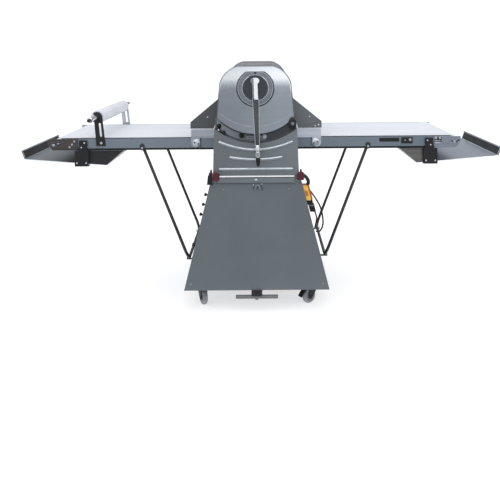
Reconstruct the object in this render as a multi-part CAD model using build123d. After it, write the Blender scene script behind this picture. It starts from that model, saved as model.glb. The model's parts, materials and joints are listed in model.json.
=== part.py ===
from build123d import *
from math import cos, radians, sin
import os

# Dough sheeter. Millimetres, +Z up. X runs along the tables, -Y is the operator's side.
# The origin is on the floor under the centre of the roller head.

# ---------------------------------------------------------------- driving dimensions
CLEAR = 0.05                # running clearance of a pin or shaft, on the radius
SHEET = 2.0                 # sheet metal

# cabinet
FLOOR_Z = 106.5             # underside of the cabinet
DECK_Z = 638.0              # top of the cabinet
CAB_FOOT = 364.0            # half width at the foot
CAB_TOP = 231.0             # half width at the top
CAB_DEPTH = 430.0           # half depth
PANEL_T = 2.0               # front and rear panels
POST = 25.0                 # square tube of the base frame

# ledge between cabinet and neck
LEDGE_HALF = 191.0
LEDGE_LOW = 645.0
LEDGE_HIGH = 679.0
LEDGE_FRONT = 446.0

# head and neck
NECK_FOOT = 217.0           # half width at the deck
NECK_MID = 212.0
NECK_MID_Z = 830.0
NECK_TIP = 204.0            # half width of the neck's upper tips
NECK_TIP_Z = 966.0
HOUSING_FRONT = 430.0       # depth of the neck's front face
HOUSING_BACK = 316.0        # depth where the housings meet the side frames
COVER_FRONT = 440.0
COVER_SHEET = 3.0
HEAD_TOP = 1228.0
HEAD_FLAT = 88.0            # half width of the flat top
HEAD_SHOULDER = (181.0, 1140.0)
HEAD_SHOULDER_MID = (150.0, 1194.0)
HEAD_HIP = (197.0, 968.0)   # lower corners of the cover
HEAD_BOTTOM = 883.0         # lowest point of the cover's round edge
RECESS_LOW = 838.0          # lowest point of the control recess
RECESS_END = (206.0, 918.0)
RECESS_DEPTH = 42.0
RIB_R = 5.0
COVER_GAP = 1.5

# rollers
AXIS_LOW = 811.0            # lower sheeting roller
AXIS_HIGH = 917.0           # upper sheeting roller, 18 mm gap
SHEETING_R = 44.0
SHEETING_HALF = 282.0
JOURNAL_R = 15.0
BELT_T = 2.5
BELT_TOP = 851.0
BELT_HALF = 272.0
BELT_ROLLER_R = 25.0
BELT_SLIP = 0.2             # gap between a roller and its belt
DRIVE_X = 78.0
END_X = 1034.0

# side frames
FRAME_IN = 301.0
FRAME_OUT = 311.0
FRAME_HALF = 215.0
FRAME_NARROW = 150.0

# thickness setting
LEVER_Z = 1117.0
LEVER_SHAFT_R = 12.0
CAM_REST_R = 37.0
CAM_RISE = 6.49             # mm per radian
CAM_IN = 285.0
CAM_OUT = 295.0
FOLLOWER_GAP = 1.7
LEVER_LEAN = 1.8            # degrees

# tables
HINGE_X = 309.0
HINGE_Z = 824.5
PIN_R = 8.0
RAIL_OUT = 309.0
RAIL_WEB = 3.0
RAIL_FLANGE = 16.0
RAIL_LOW = 792.0
RAIL_HIGH = 850.0
RAIL_END_R = 24.0
RAIL_TIP = 1000.0
INNER_END = 279.0
BED_LOW = 843.0
BED_T = 3.0
CHEEK_IN = 311.0
CHEEK_OUT = 315.0
CHEEK_LOW = 850.0
CHEEK_HIGH = 895.0
CHEEK_TIP = 338.0
BOSS_R = 21.0
END_PLATE_IN = 928.0
END_PLATE_OUT = {"left": 1085.0, "right": 1066.0}
END_PLATE_T = 4.0

# trays: the right one is set further out in its slots
TRAY_SHIFT = {"left": 0.0, "right": 57.0}
TRAY_HALF = 300.0
TRAY_REAR = {"left": 276.0, "right": 300.0}
TRAY_TOP_IN = (687.0, 787.0)
TRAY_CORNER = (781.0, 710.0)
TRAY_TOE = (1208.0, 744.0)
TRAY_LIP = (1226.0, 790.0)
TRAY_RETURN = 9.0

# support rods
ROD_R = 8.0
ROD_TOP = {"left": (593.0, 800.0), "right": (583.0, 800.0)}
ROD_FOOT = {"left": (357.0, 214.0), "right": (357.0, 227.0)}
ROD_Y = 282.0
ROD_BEND = 50.0

# roll-up pin
ROLLUP_X = -829.0
ROLLUP_Z = 962.0
ROLLUP_R = 35.0
ROLLUP_HALF = 300.0
ROLLUP_SHAFT_R = 7.0

# guards
GUARD_HINGE = (176.0, 1056.0)
GUARD_IN = 295.0
GUARD_OUT = 298.0
GUARD_LOW = 897.0

# castors
CASTOR_X = 287.0
CASTOR_Y = 310.0
WHEEL_R = 37.5
WHEEL_HALF = 12.0
TRAIL = 25.0
AXLE_R = 4.0
FORK_GAP = WHEEL_HALF + 2.5
BRAKE_PIN = (17.0, 79.0)
BRAKE_PIN_R = 2.5
CASTOR_TURN = {"left": -64.0, "right": 215.0, "rear": 90.0}

# foot pedal
PEDAL_Y = -425.0
PEDAL_Z = 72.0
PEDAL_HALF = 106.0
PEDAL_PIVOT_Z = 94.0
PEDAL_BOX_LOW = 85.0

# controls
STOP_AT = (-71.0, 873.0)
START_AT = (-186.0, 922.0)
JOYSTICK_AT = (184.0, 938.0)

# drive
MOTOR_Z = 235.0
MOTOR_PULLEY_R = 40.0
ROLLER_PULLEY_R = 60.0
PULLEY_IN = 330.0
PULLEY_OUT = 350.0


# ---------------------------------------------------------------- helpers
def block(x, y, z):
    """A box given by its limits along each axis."""
    size = [high - low for low, high in (x, y, z)]
    centre = [(high + low) / 2 for low, high in (x, y, z)]
    return Pos(*centre) * Box(*size)


def rod_y(x, z, radius, y_low, y_high):
    """A round bar along Y."""
    return Pos(x, (y_low + y_high) / 2, z) * Rot(90, 0, 0) * Cylinder(radius, y_high - y_low)


def rod_x(y, z, radius, x_low, x_high):
    """A round bar along X."""
    return Pos((x_low + x_high) / 2, y, z) * Rot(0, 90, 0) * Cylinder(radius, x_high - x_low)


def slab(face, y_low, y_high):
    """A face drawn in X and Z, thickened between two depths."""
    return Pos(0, y_high, 0) * extrude(Plane.XZ * face, y_high - y_low)


def polygon(*points):
    return make_face(Polyline(*points, close=True))


def mirror_x(shape):
    return mirror(shape, about=Plane.YZ)


def mirror_y(shape):
    return mirror(shape, about=Plane.XZ)


def both_ends(shape):
    """The shape and its mirror image at the other depth, as separate solids."""
    return [shape, mirror_y(shape)]


def solids(*shapes):
    """One compound of every solid in the shapes."""
    found = []
    for shape in shapes:
        for item in shape if isinstance(shape, (list, tuple)) else [shape]:
            found.extend(item.solids())
    return Compound(children=found)


def capsule(start, end, radius):
    """The area swept by a circle moving between two points."""
    a = Pos(*start) * Circle(radius)
    b = Pos(*end) * Circle(radius)
    return make_hull(a.edges() + b.edges())


def save(name, shape):
    export_step(shape, f"parts/{name}.step")


def cabinet_half(z):
    """Half width of the cabinet at a height."""
    return CAB_FOOT + (CAB_TOP - CAB_FOOT) * (z - FLOOR_Z) / (DECK_Z - FLOOR_Z)


BELT_AXIS = BELT_TOP - BELT_T - BELT_SLIP - BELT_ROLLER_R


# ---------------------------------------------------------------- cabinet
def cabinet_outline():
    return polygon((-CAB_FOOT, FLOOR_Z), (CAB_FOOT, FLOOR_Z), (CAB_TOP, DECK_Z), (-CAB_TOP, DECK_Z))


def rod_hook(side):
    """An open-topped hook on the cabinet's right side that carries a support rod's cross bar."""
    foot_x, foot_z = ROD_FOOT[side]
    tongue_z = foot_z - ROD_R - 5
    lip_x = foot_x + ROD_R + 4
    strip = 3
    profile = polygon(
        (cabinet_half(tongue_z) - 1, tongue_z),
        (lip_x + strip, tongue_z),
        (lip_x + strip, foot_z + 4),
        (lip_x, foot_z + 4),
        (lip_x, tongue_z + strip),
        (cabinet_half(tongue_z) - 1, tongue_z + strip),
    )
    width = 20
    near = 230
    return both_ends(slab(profile, -near - width, -near))


def cabinet_shell():
    outer = slab(cabinet_outline(), -CAB_DEPTH, CAB_DEPTH)
    inner = slab(offset(cabinet_outline(), -SHEET), -CAB_DEPTH - 1, CAB_DEPTH + 1)
    belt_slot = block((-75, 75), (PULLEY_IN - 12, PULLEY_OUT + 12), (DECK_Z - 10, DECK_Z + 10))
    shell = outer - inner - belt_slot
    for hook in rod_hook("right"):
        shell += hook
    for hook in rod_hook("left"):
        shell += mirror_x(hook)
    return shell


SCREW_AT = [(-166, 608), (166, 608), (-331, 138), (331, 138)]


def panel(y_low):
    plate = slab(cabinet_outline(), y_low, y_low + PANEL_T)
    for x, z in SCREW_AT:
        plate -= rod_y(x, z, 3, y_low - 1, y_low + PANEL_T + 1)
    return plate


def panel_screws():
    front = []
    face = -CAB_DEPTH - PANEL_T
    for x, z in SCREW_AT:
        head = rod_y(x, z, 5.5, face - 2.5, face)
        shank = rod_y(x, z, 2.5, face, face + 8)
        front.append(head + shank)
    return solids(front, [mirror_y(screw) for screw in front])


def base_frame():
    """Welded tube frame: two rings joined by four leaning posts, with the castor plates."""
    low = FLOOR_Z + SHEET + 0.5
    high = DECK_Z - SHEET - 0.5
    reach = CAB_DEPTH - 10
    half_low = cabinet_half(low + POST) - SHEET - 4
    half_high = cabinet_half(high) - SHEET - 4
    frame = None
    for side in (-1, 1):
        post = polygon(
            (side * half_low, low),
            (side * half_high, high),
            (side * (half_high - POST), high),
            (side * (half_low - POST), low),
        )
        for y_low, y_high in ((-reach, -reach + POST), (reach - POST, reach)):
            leg = slab(post, y_low, y_high)
            frame = leg if frame is None else frame + leg
        width_low = sorted((side * (half_low - POST), side * (half_low - 3)))
        width_high = sorted((side * (half_high - POST), side * half_high))
        frame += block(width_low, (-reach, reach), (low, low + POST))
        frame += block(width_high, (-reach, reach), (high - POST, high))
    for y_low in (-reach, reach - POST):
        frame += block((-half_low + 3, half_low - 3), (y_low, y_low + POST), (low, low + POST))
        frame += block((-half_high, half_high), (y_low, y_low + POST), (high - POST, high))
    motor_bed = block((-half_low + 3, half_low - 3), (20, 300), (low, low + 6))
    return frame + motor_bed


# ---------------------------------------------------------------- ledge, latch and small fittings
def ledge_strip():
    strip = block((-LEDGE_HALF, LEDGE_HALF), (-LEDGE_FRONT, -HOUSING_FRONT - 0.5), (LEDGE_LOW, LEDGE_HIGH))
    return fillet(strip.edges().filter_by(Axis.X).group_by(Axis.Y)[0], 2)


def ledge_end_blocks():
    body = block((LEDGE_HALF + 1, 238), (-450, -HOUSING_FRONT - 0.5), (656, 688))
    body += block((NECK_FOOT + 2, 238), (-431, -395), (656, 688))
    body = fillet(body.edges().filter_by(Axis.Z), 2)
    return solids(body, mirror_x(body))


LATCH_Z = 660.0
LATCH_R = 9.0


def panel_latch():
    face = -LEDGE_FRONT - 0.5
    disc = rod_y(0, LATCH_Z, LATCH_R, face - 5, face)
    wing = block((-LATCH_R, LATCH_R), (face - 10, face - 4), (LATCH_Z - 2.5, LATCH_Z + 2.5))
    return disc + wing


KNOB_AT = [575, 526, 476, 323]


def side_knobs():
    """Four small round knobs that stand on the left side panel."""
    lean = 90 - 14.05
    found = []
    for z in KNOB_AT:
        x = -cabinet_half(z) - 0.2
        knob = Cylinder(8, 16, align=(Align.CENTER, Align.CENTER, Align.MIN))
        found.append(Pos(x, -400, z) * Rot(0, -lean, 0) * knob)
    return solids(found)


# ---------------------------------------------------------------- head
def head_outline():
    """Front view of the head cover: flat top, round shoulders, nearly straight sides, round lower edge."""
    sx, sz = HEAD_SHOULDER
    mx, mz = HEAD_SHOULDER_MID
    hx, hz = HEAD_HIP
    edges = [
        Line((-HEAD_FLAT, HEAD_TOP), (HEAD_FLAT, HEAD_TOP)),
        ThreePointArc((HEAD_FLAT, HEAD_TOP), (mx, mz), (sx, sz)),
        Line((sx, sz), (hx, hz)),
        ThreePointArc((hx, hz), (0, HEAD_BOTTOM), (-hx, hz)),
        Line((-hx, hz), (-sx, sz)),
        ThreePointArc((-sx, sz), (-mx, mz), (-HEAD_FLAT, HEAD_TOP)),
    ]
    return make_face(edges)


def neck_outline(drop=0.0, inset=0.0):
    """Front view of the neck: straight sides and a hollow top edge that follows the head cover."""
    foot = NECK_FOOT - inset
    mid = NECK_MID - inset
    tip = NECK_TIP - inset
    tip_z = NECK_TIP_Z - drop
    dip_z = HEAD_BOTTOM - COVER_GAP - drop
    edges = [
        Line((-foot, DECK_Z), (foot, DECK_Z)),
        Line((foot, DECK_Z), (mid, NECK_MID_Z)),
        Line((mid, NECK_MID_Z), (tip, tip_z)),
        ThreePointArc((tip, tip_z), (0, dip_z), (-tip, tip_z)),
        Line((-tip, tip_z), (-mid, NECK_MID_Z)),
        Line((-mid, NECK_MID_Z), (-foot, DECK_Z)),
    ]
    return make_face(edges)


def recess_outline(grow=0.0):
    """The crescent above the top rib where the controls sit; it runs out past the cover's edge."""
    ex, ez = RECESS_END
    edges = [
        ThreePointArc((-ex - 30, ez + 22 - grow), (0, RECESS_LOW - grow), (ex + 30, ez + 22 - grow)),
        Line((ex + 30, ez + 22 - grow), (ex + 30, NECK_TIP_Z + 40)),
        Line((ex + 30, NECK_TIP_Z + 40), (-ex - 30, NECK_TIP_Z + 40)),
        Line((-ex - 30, NECK_TIP_Z + 40), (-ex - 30, ez + 22 - grow)),
    ]
    return make_face(edges)


def rib(half, z_end, z_mid):
    """A raised round rib across the neck, bowed down in the middle when the heights differ."""
    y = -HOUSING_FRONT
    start = (-half, y, z_end)
    end = (half, y, z_end)
    if z_end == z_mid:
        path = Line(start, end)
    else:
        path = ThreePointArc(start, (0, y, z_mid), end)
    section = Plane(origin=path @ 0, z_dir=path % 0) * Circle(RIB_R)
    ends = Pos(*start) * Sphere(RIB_R) + Pos(*end) * Sphere(RIB_R)
    return sweep(section, path=path) + ends


RIBS = [(181, 844, 806), (127, 768, 757), (180, 709, 709)]


def front_neck_housing():
    top_floor = HOUSING_FRONT - RECESS_DEPTH
    outer = slab(neck_outline(), -HOUSING_FRONT, -HOUSING_BACK)
    outer -= slab(recess_outline(), -HOUSING_FRONT - 1, -top_floor)
    for half, z_end, z_mid in RIBS:
        outer += rib(half, z_end, z_mid)
    inner = slab(neck_outline(SHEET, SHEET), -HOUSING_FRONT + SHEET, -HOUSING_BACK + 1)
    inner += block(
        (-NECK_FOOT + SHEET, NECK_FOOT - SHEET),
        (-HOUSING_FRONT + SHEET, -HOUSING_BACK + 1),
        (DECK_Z - 1, DECK_Z + 1),
    )
    inner -= slab(recess_outline(SHEET), -HOUSING_FRONT - 1, -top_floor + SHEET)
    housing = outer - inner
    stop_x, stop_z = STOP_AT
    start_x, start_z = START_AT
    for x, z, radius in ((stop_x, stop_z, 6), (start_x, start_z, 4)):
        housing -= rod_y(x, z, radius + 0.3, -top_floor - 1, -top_floor + 5)
    return housing


def rear_housing():
    """Neck and head cover of the rear side in one shell, open towards the rollers and below."""
    outer = slab(head_outline(), HOUSING_BACK, HOUSING_FRONT)
    outer += slab(neck_outline(-8), HOUSING_BACK, HOUSING_FRONT)
    inner = slab(offset(head_outline(), -SHEET), HOUSING_BACK - 1, HOUSING_FRONT - SHEET)
    inner += slab(neck_outline(-20, SHEET), HOUSING_BACK - 1, HOUSING_FRONT - SHEET) & block(
        (-NECK_FOOT, NECK_FOOT), (HOUSING_BACK - 1, HOUSING_FRONT), (DECK_Z - 1, 940)
    )
    inner += block(
        (-NECK_FOOT + SHEET, NECK_FOOT - SHEET),
        (HOUSING_BACK - 1, HOUSING_FRONT - SHEET),
        (DECK_Z - 1, DECK_Z + 1),
    )
    return outer - inner


def head_front_cover():
    outer = slab(head_outline(), -COVER_FRONT, -HOUSING_BACK)
    outer = fillet(outer.edges().group_by(Axis.Y)[0], 7)
    inner = slab(offset(head_outline(), -COVER_SHEET), -COVER_FRONT + COVER_SHEET, -HOUSING_BACK + 1)
    return outer - inner - rod_y(0, LEVER_Z, LEVER_SHAFT_R + 1, -COVER_FRONT - 1, -HOUSING_BACK)


def head_top_cover():
    """Bent cover over the rollers, between the front and rear housings."""
    reach = HOUSING_BACK - 1
    outer = slab(offset(head_outline(), -COVER_SHEET), -reach, reach)
    inner = slab(offset(head_outline(), -COVER_SHEET - SHEET), -reach - 1, reach + 1)
    keep = block((-250, 250), (-reach - 2, reach + 2), (1104, HEAD_TOP + 1))
    return (outer - inner) & keep


DIAL_R = 94.0
DIAL_FLAT = 82.0
DISC_R = 64.0


def dial_plate():
    ring = Circle(DIAL_R) - Circle(DISC_R + 1.5)
    ring -= Pos(0, DIAL_FLAT + 50) * Rectangle(2 * DIAL_R, 100)
    return slab(Pos(0, LEVER_Z) * ring, -COVER_FRONT - 6, -COVER_FRONT)


# ---------------------------------------------------------------- thickness setting
def lean(shape):
    """Turn a shape about the lever's axis by the lean the lever has at rest."""
    return Pos(0, 0, LEVER_Z) * Rot(0, -LEVER_LEAN, 0) * Pos(0, 0, -LEVER_Z) * shape


ARM_TOP_Z = 1064.0
ARM_END_Z = 833.0
COLLAR_END_Z = 776.0
GRIP_END_Z = 727.0


def thickness_lever():
    front = COVER_FRONT
    disc = rod_y(0, LEVER_Z, DISC_R, -front - 9, -front - 1)
    bar = block((-9, 9), (-front - 24, -front - 8), (ARM_TOP_Z - 4, 1150))
    cross = block((-20, 16), (-front - 24, -front - 8), (1150, 1166))
    top = Pos(0, -front - 16, ARM_TOP_Z) * Ellipse(13, 7)
    end = Pos(0, -front - 24, ARM_END_Z) * Ellipse(8, 6)
    arm = loft([end, top])
    collar_z = (ARM_END_Z + COLLAR_END_Z) / 2
    collar = Pos(0, -front - 24.9, collar_z) * Cylinder(10, ARM_END_Z - COLLAR_END_Z + 6)
    return lean(disc + bar + cross + arm + collar)


def lever_grip():
    height = COLLAR_END_Z - 3.5 - GRIP_END_Z
    grip = Cone(6, 11.5, height, align=(Align.CENTER, Align.CENTER, Align.MIN))
    grip = fillet(grip.edges().group_by(Axis.Z)[0], 4)
    return lean(Pos(0, -COVER_FRONT - 24.9, GRIP_END_Z) * grip)


def cam_outline():
    """Spiral whose radius grows evenly as it turns, so a turn of the lever lifts the carriage evenly."""
    steps = 36
    points = []
    for step in range(steps + 1):
        turn = radians(-175 + 350 * step / steps)
        radius = CAM_REST_R + CAM_RISE * turn
        points.append((radius * sin(turn), -radius * cos(turn)))
    return make_face([Spline(*points), Line(points[-1], points[0])])


def lever_shaft():
    shaft = rod_y(0, LEVER_Z, LEVER_SHAFT_R, -COVER_FRONT - 0.5, FRAME_OUT + 2)
    cam = slab(Pos(0, LEVER_Z) * cam_outline(), -CAM_OUT, -CAM_IN)
    far = slab(Pos(0, LEVER_Z) * cam_outline(), CAM_IN, CAM_OUT)
    return shaft + cam + far


CARRIAGE_HALF = 35.0
CARRIAGE_HIGH = 38.0


def upper_carriage():
    """Two bearing blocks joined by a tie, each with a post up to its cam."""
    post_top = LEVER_Z - CAM_REST_R - FOLLOWER_GAP
    body = block((-12, 12), (-CAM_OUT, CAM_OUT), (985, 1005))
    for side in (-1, 1):
        depth = sorted((side * (FRAME_OUT + 1), side * (CAM_IN - 1)))
        post = sorted((side * CAM_OUT, side * CAM_IN))
        height = (AXIS_HIGH - CARRIAGE_HIGH, AXIS_HIGH + CARRIAGE_HIGH)
        body += block((-CARRIAGE_HALF, CARRIAGE_HALF), depth, height)
        body += block((-12, 12), post, (AXIS_HIGH + CARRIAGE_HIGH - 2, post_top))
    return body - rod_y(0, AXIS_HIGH, JOURNAL_R + CLEAR, -400, 400)


def roller(x, z, radius, half, journal, reach):
    """A round roller along Y with a thinner journal at each end."""
    barrel = rod_y(x, z, radius, -half, half)
    barrel = chamfer(barrel.edges(), 1)
    return barrel + rod_y(x, z, journal, -reach, reach)


def lower_roller():
    body = roller(0, AXIS_LOW, SHEETING_R, SHEETING_HALF, JOURNAL_R, FRAME_OUT + 8)
    body += rod_y(0, AXIS_LOW, JOURNAL_R, FRAME_OUT, PULLEY_OUT + 5)
    return body + rod_y(0, AXIS_LOW, ROLLER_PULLEY_R, PULLEY_IN, PULLEY_OUT)


# ---------------------------------------------------------------- side frames
def side_frame():
    """Front side plate with the roller bores, the carriage slot and the guard hinge lugs."""
    half = FRAME_HALF
    narrow = FRAME_NARROW
    outline = polygon(
        (-half, DECK_Z),
        (half, DECK_Z),
        (half - 8, 900),
        (narrow, 930),
        (narrow, 1160),
        (-narrow, 1160),
        (-narrow, 930),
        (-half + 8, 900),
    )
    plate = slab(outline, -FRAME_OUT, -FRAME_IN)
    gx, gz = GUARD_HINGE
    for side in (-1, 1):
        lug = capsule((side * (narrow - 10), gz), (side * gx, gz), 14)
        plate += slab(lug, -FRAME_OUT, -FRAME_IN)
        plate -= rod_y(side * gx, gz, 6 + CLEAR, -400, -200)
        plate -= rod_y(side * DRIVE_X, BELT_AXIS, 10 + CLEAR, -400, -200)
    slot_half = CARRIAGE_HALF + 0.3
    slot_z = CARRIAGE_HIGH + 19
    plate -= block((-slot_half, slot_half), (-400, -200), (AXIS_HIGH - slot_z, AXIS_HIGH + slot_z))
    plate -= rod_y(0, AXIS_LOW, JOURNAL_R + CLEAR, -400, -200)
    return plate - rod_y(0, LEVER_Z, LEVER_SHAFT_R + CLEAR, -400, -200)


# ---------------------------------------------------------------- fixed table ends and hinges
def inner_frame():
    """The short fixed end of the right table: two rails with the bed between them."""
    rail = block((FRAME_HALF + 0.2, INNER_END), (-FRAME_OUT, -FRAME_IN), (RAIL_LOW, RAIL_HIGH))
    bed = block((112, INNER_END), (-FRAME_IN, FRAME_IN), (BED_LOW, BED_LOW + BED_T))
    tie = block((INNER_END - 28, INNER_END), (-FRAME_IN, FRAME_IN), (803, BED_LOW))
    return rail + mirror_y(rail) + bed + tie


def hinge_cheek():
    """Light plate at the right front, from the neck out over the hinge, with an ear down to the pin."""
    strip = polygon((198, CHEEK_LOW), (CHEEK_TIP, CHEEK_LOW), (CHEEK_TIP, CHEEK_HIGH), (198, CHEEK_HIGH))
    ear = capsule((HINGE_X + 6, HINGE_Z), (HINGE_X + 6, CHEEK_LOW + 6), 23)
    plate = slab(strip, -CHEEK_OUT, -CHEEK_IN) + slab(ear, -CHEEK_OUT, -CHEEK_IN)
    return plate - rod_y(HINGE_X, HINGE_Z, PIN_R + CLEAR, -400, -200)


def hinge_pin():
    shank = rod_y(HINGE_X, HINGE_Z, PIN_R, -CHEEK_OUT, -296)
    head = rod_y(HINGE_X, HINGE_Z, BOSS_R, -CHEEK_OUT - 8, -CHEEK_OUT)
    head = chamfer(head.edges().group_by(Axis.Y)[0], 2)
    for angle in (20, 200):
        x = HINGE_X + 11 * cos(radians(angle))
        z = HINGE_Z + 11 * sin(radians(angle))
        head -= rod_y(x, z, 3, -CHEEK_OUT - 9, -CHEEK_OUT - 4)
    return head + shank


def four(shape):
    """A shape at the right front, with its images at the other three corners."""
    pair = both_ends(shape)
    return solids(pair, [mirror_x(item) for item in pair])


# ---------------------------------------------------------------- tables
def table_frame(side):
    """The right table: two channels, cross bars, slider bed, end plates and the rod pins."""
    web = make_hull(
        (Pos(HINGE_X, HINGE_Z) * Circle(RAIL_END_R)).edges()
        + (Pos(RAIL_TIP - 10, (RAIL_LOW + RAIL_HIGH) / 2) * Rectangle(20, RAIL_HIGH - RAIL_LOW)).edges()
        + (Pos(HINGE_X + 26, (RAIL_LOW + RAIL_HIGH) / 2) * Rectangle(20, RAIL_HIGH - RAIL_LOW)).edges()
    )
    rail = slab(web, -RAIL_OUT, -RAIL_OUT + RAIL_WEB)
    start = HINGE_X + 40
    depth = (-RAIL_OUT + RAIL_WEB - 0.5, -RAIL_OUT + RAIL_FLANGE)
    rail += block((start, RAIL_TIP), depth, (RAIL_LOW, RAIL_LOW + RAIL_WEB))
    rail += block((start, RAIL_TIP), depth, (RAIL_HIGH - RAIL_WEB - 2, RAIL_HIGH - 2))
    rail += rod_y(HINGE_X, HINGE_Z, 18, -RAIL_OUT + RAIL_WEB - 0.5, -298)
    rail -= rod_y(HINGE_X, HINGE_Z, PIN_R + CLEAR, -400, -200)
    tip = END_PLATE_OUT[side]
    plate = polygon(
        (END_PLATE_IN, RAIL_LOW),
        (tip - 26, RAIL_LOW),
        (tip, RAIL_LOW + 30),
        (tip, RAIL_HIGH),
        (END_PLATE_IN, RAIL_HIGH),
    )
    rail += slab(plate, -RAIL_OUT - END_PLATE_T, -RAIL_OUT + 0.2)
    slot = capsule((END_X - 16, BELT_AXIS), (END_X + 8, BELT_AXIS), 6.1)
    rail -= slab(slot, -400, -200)
    rod_x_top, rod_z_top = ROD_TOP[side]
    lug = capsule((rod_x_top, rod_z_top + 6), (rod_x_top, rod_z_top), 13)
    rail += slab(lug, -RAIL_OUT - 3, -RAIL_OUT + RAIL_WEB)
    rail += rod_y(rod_x_top, rod_z_top, 5, -RAIL_OUT - 6, -ROD_Y + 9)
    frame = rail + mirror_y(rail)
    inside = RAIL_OUT - RAIL_WEB + 0.5
    for x in (400, 700, 930):
        frame += block((x - 15, x + 15), (-inside, inside), (803, BED_LOW - 2))
    bed_half = RAIL_OUT - 12
    frame += block((HINGE_X + 42, RAIL_TIP - 6), (-bed_half, bed_half), (BED_LOW - 2.5, BED_LOW + 1))
    return frame


def belt_strip(x_open, x_axis, sign):
    """Half of a flat belt loop: two runs joined round a roller; sign gives the end that is round."""
    outer_r = BELT_ROLLER_R + BELT_SLIP + BELT_T
    inner_r = BELT_ROLLER_R + BELT_SLIP
    far = x_axis + sign * 100
    window = block(sorted((x_open, far)), (-BELT_HALF, BELT_HALF), (BELT_AXIS - 60, BELT_AXIS + 60))
    loop = capsule((x_open - sign * 60, BELT_AXIS), (x_axis, BELT_AXIS), outer_r)
    hole = capsule((x_open - sign * 60, BELT_AXIS), (x_axis, BELT_AXIS), inner_r)
    return slab(loop - hole, -BELT_HALF, BELT_HALF) & window


def tray(side):
    """The right flour tray: sloping inner wall, floor and a turned lip, with side gussets."""
    shift = TRAY_SHIFT[side]
    points = [TRAY_TOP_IN, TRAY_CORNER, TRAY_TOE, TRAY_LIP]
    top_in, corner, toe, lip = [(x + shift, z) for x, z in points]
    hem = (lip[0] - TRAY_RETURN, lip[1] + 1)
    line = Polyline(top_in, corner, toe, lip, hem)
    rear = TRAY_REAR[side]
    sheet = slab(make_face(offset(line, SHEET / 2, side=Side.BOTH)), -TRAY_HALF, rear)
    gusset_x = 890
    floor = corner[1] + (gusset_x - corner[0]) * (toe[1] - corner[1]) / (toe[0] - corner[0])
    gusset = polygon(top_in, corner, (gusset_x, floor), (gusset_x, TRAY_TOP_IN[1]))
    return sheet + slab(gusset, -TRAY_HALF, -TRAY_HALF + SHEET) + slab(gusset, rear - SHEET, rear)


def tray_brackets():
    """Black plates at the right table that hang the tray from the end plates."""
    face = RAIL_OUT + END_PLATE_T
    plate = polygon(
        (879, 842),
        (879, 790),
        (871, 790),
        (871, 711),
        (943, 711),
        (943, 790),
        (921, 790),
        (921, 842),
    )
    arm = slab(plate, -face - 4, -face - 0.1)
    foot = block((871, 943), (-face - 4, -TRAY_HALF + 20), (708, 711.2))
    foot += block((871, 943), (-face - 4, -face - 0.1), (709, 714))
    pad = block((882, 918), (-face - 0.2, -RAIL_OUT - 0.1), (800, 838))
    return solids(both_ends(arm + foot + pad))


def support_rod(side):
    """U-shaped rod drawn at the right: two legs with eyes at the top and a cross bar at the foot."""
    tx, tz = ROD_TOP[side]
    fx, fz = ROD_FOOT[side]
    corners = [(tx, -ROD_Y, tz), (fx, -ROD_Y, fz), (fx, ROD_Y, fz), (tx, ROD_Y, tz)]
    path = FilletPolyline(*corners, radius=ROD_BEND)
    section = Plane(origin=path @ 0, z_dir=path % 0) * Circle(ROD_R)
    rod = sweep(section, path=path)
    for y in (-ROD_Y, ROD_Y):
        rod += rod_y(tx, tz, 12, y - 7, y + 7)
        rod -= rod_y(tx, tz, 5 + CLEAR, y - 20, y + 20)
    return rod


# ---------------------------------------------------------------- roll-up pin
def rollup_bracket():
    """Leaning slotted plate with a round head, whose slot for the pin opens outwards."""
    x = ROLLUP_X
    z = ROLLUP_Z
    head_r = 28
    rise = 14
    plate = polygon((x - 2, 813), (x + 46, 813), (x + 28, z + 3), (x, z + 3), (x - 13, z - 24))
    plate += Pos(x, z) * Circle(head_r)
    plate -= capsule((x + 22, 866), (x + 15, 926), 5.5)
    plate -= capsule((x, z), (x - 2 * head_r, z + rise), ROLLUP_SHAFT_R + CLEAR)
    return slab(plate, -RAIL_OUT - 4, -RAIL_OUT - 0.1)


def rollup_pin():
    half = ROLLUP_HALF
    body = roller(ROLLUP_X, ROLLUP_Z, ROLLUP_R, half, ROLLUP_SHAFT_R, half + 22)
    for side in (-1, 1):
        handle = rod_y(ROLLUP_X, ROLLUP_Z, 14, *sorted((side * (half + 20), side * (half + 150))))
        cap = rod_y(ROLLUP_X, ROLLUP_Z, 8, *sorted((side * (half + 150), side * (half + 175))))
        body += handle + cap
    return body


# ---------------------------------------------------------------- guards
def guard():
    """Right guard: a large front plate and a smaller rear plate on a hinge rod, joined by five bars."""
    gx, gz = GUARD_HINGE
    front = polygon(
        (gx + 4, gz + 10),
        (343, 930),
        (343, GUARD_LOW),
        (222, GUARD_LOW),
        (gx - 6, gz - 8),
        (gx - 6, gz + 8),
    )
    rear = polygon(
        (gx + 8, gz + 6),
        (240, 980),
        (310, 918),
        (310, GUARD_LOW),
        (222, GUARD_LOW),
        (gx - 6, gz - 8),
        (gx - 6, gz + 8),
    )
    body = slab(front, -GUARD_OUT, -GUARD_IN) + slab(rear, GUARD_IN, GUARD_OUT)
    body += rod_y(gx, gz, 6, -FRAME_OUT, FRAME_OUT)
    first_x = 206
    pitch = 23
    slope = -0.834
    for step in range(5):
        x = first_x + pitch * step
        body += rod_y(x, 1002 + slope * (x - first_x), 4, -GUARD_OUT + 1, GUARD_OUT - 1)
    return body


# ---------------------------------------------------------------- castors
def wheel():
    """A castor wheel standing on the floor at the origin, axle along Y."""
    tread = rod_y(0, WHEEL_R, WHEEL_R, -WHEEL_HALF, WHEEL_HALF)
    tread = fillet(tread.edges(), 5)
    hub = rod_y(0, WHEEL_R, 12, -WHEEL_HALF - 1.5, WHEEL_HALF + 1.5)
    return tread + hub - rod_y(0, WHEEL_R, AXLE_R + CLEAR, -40, 40)


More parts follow.
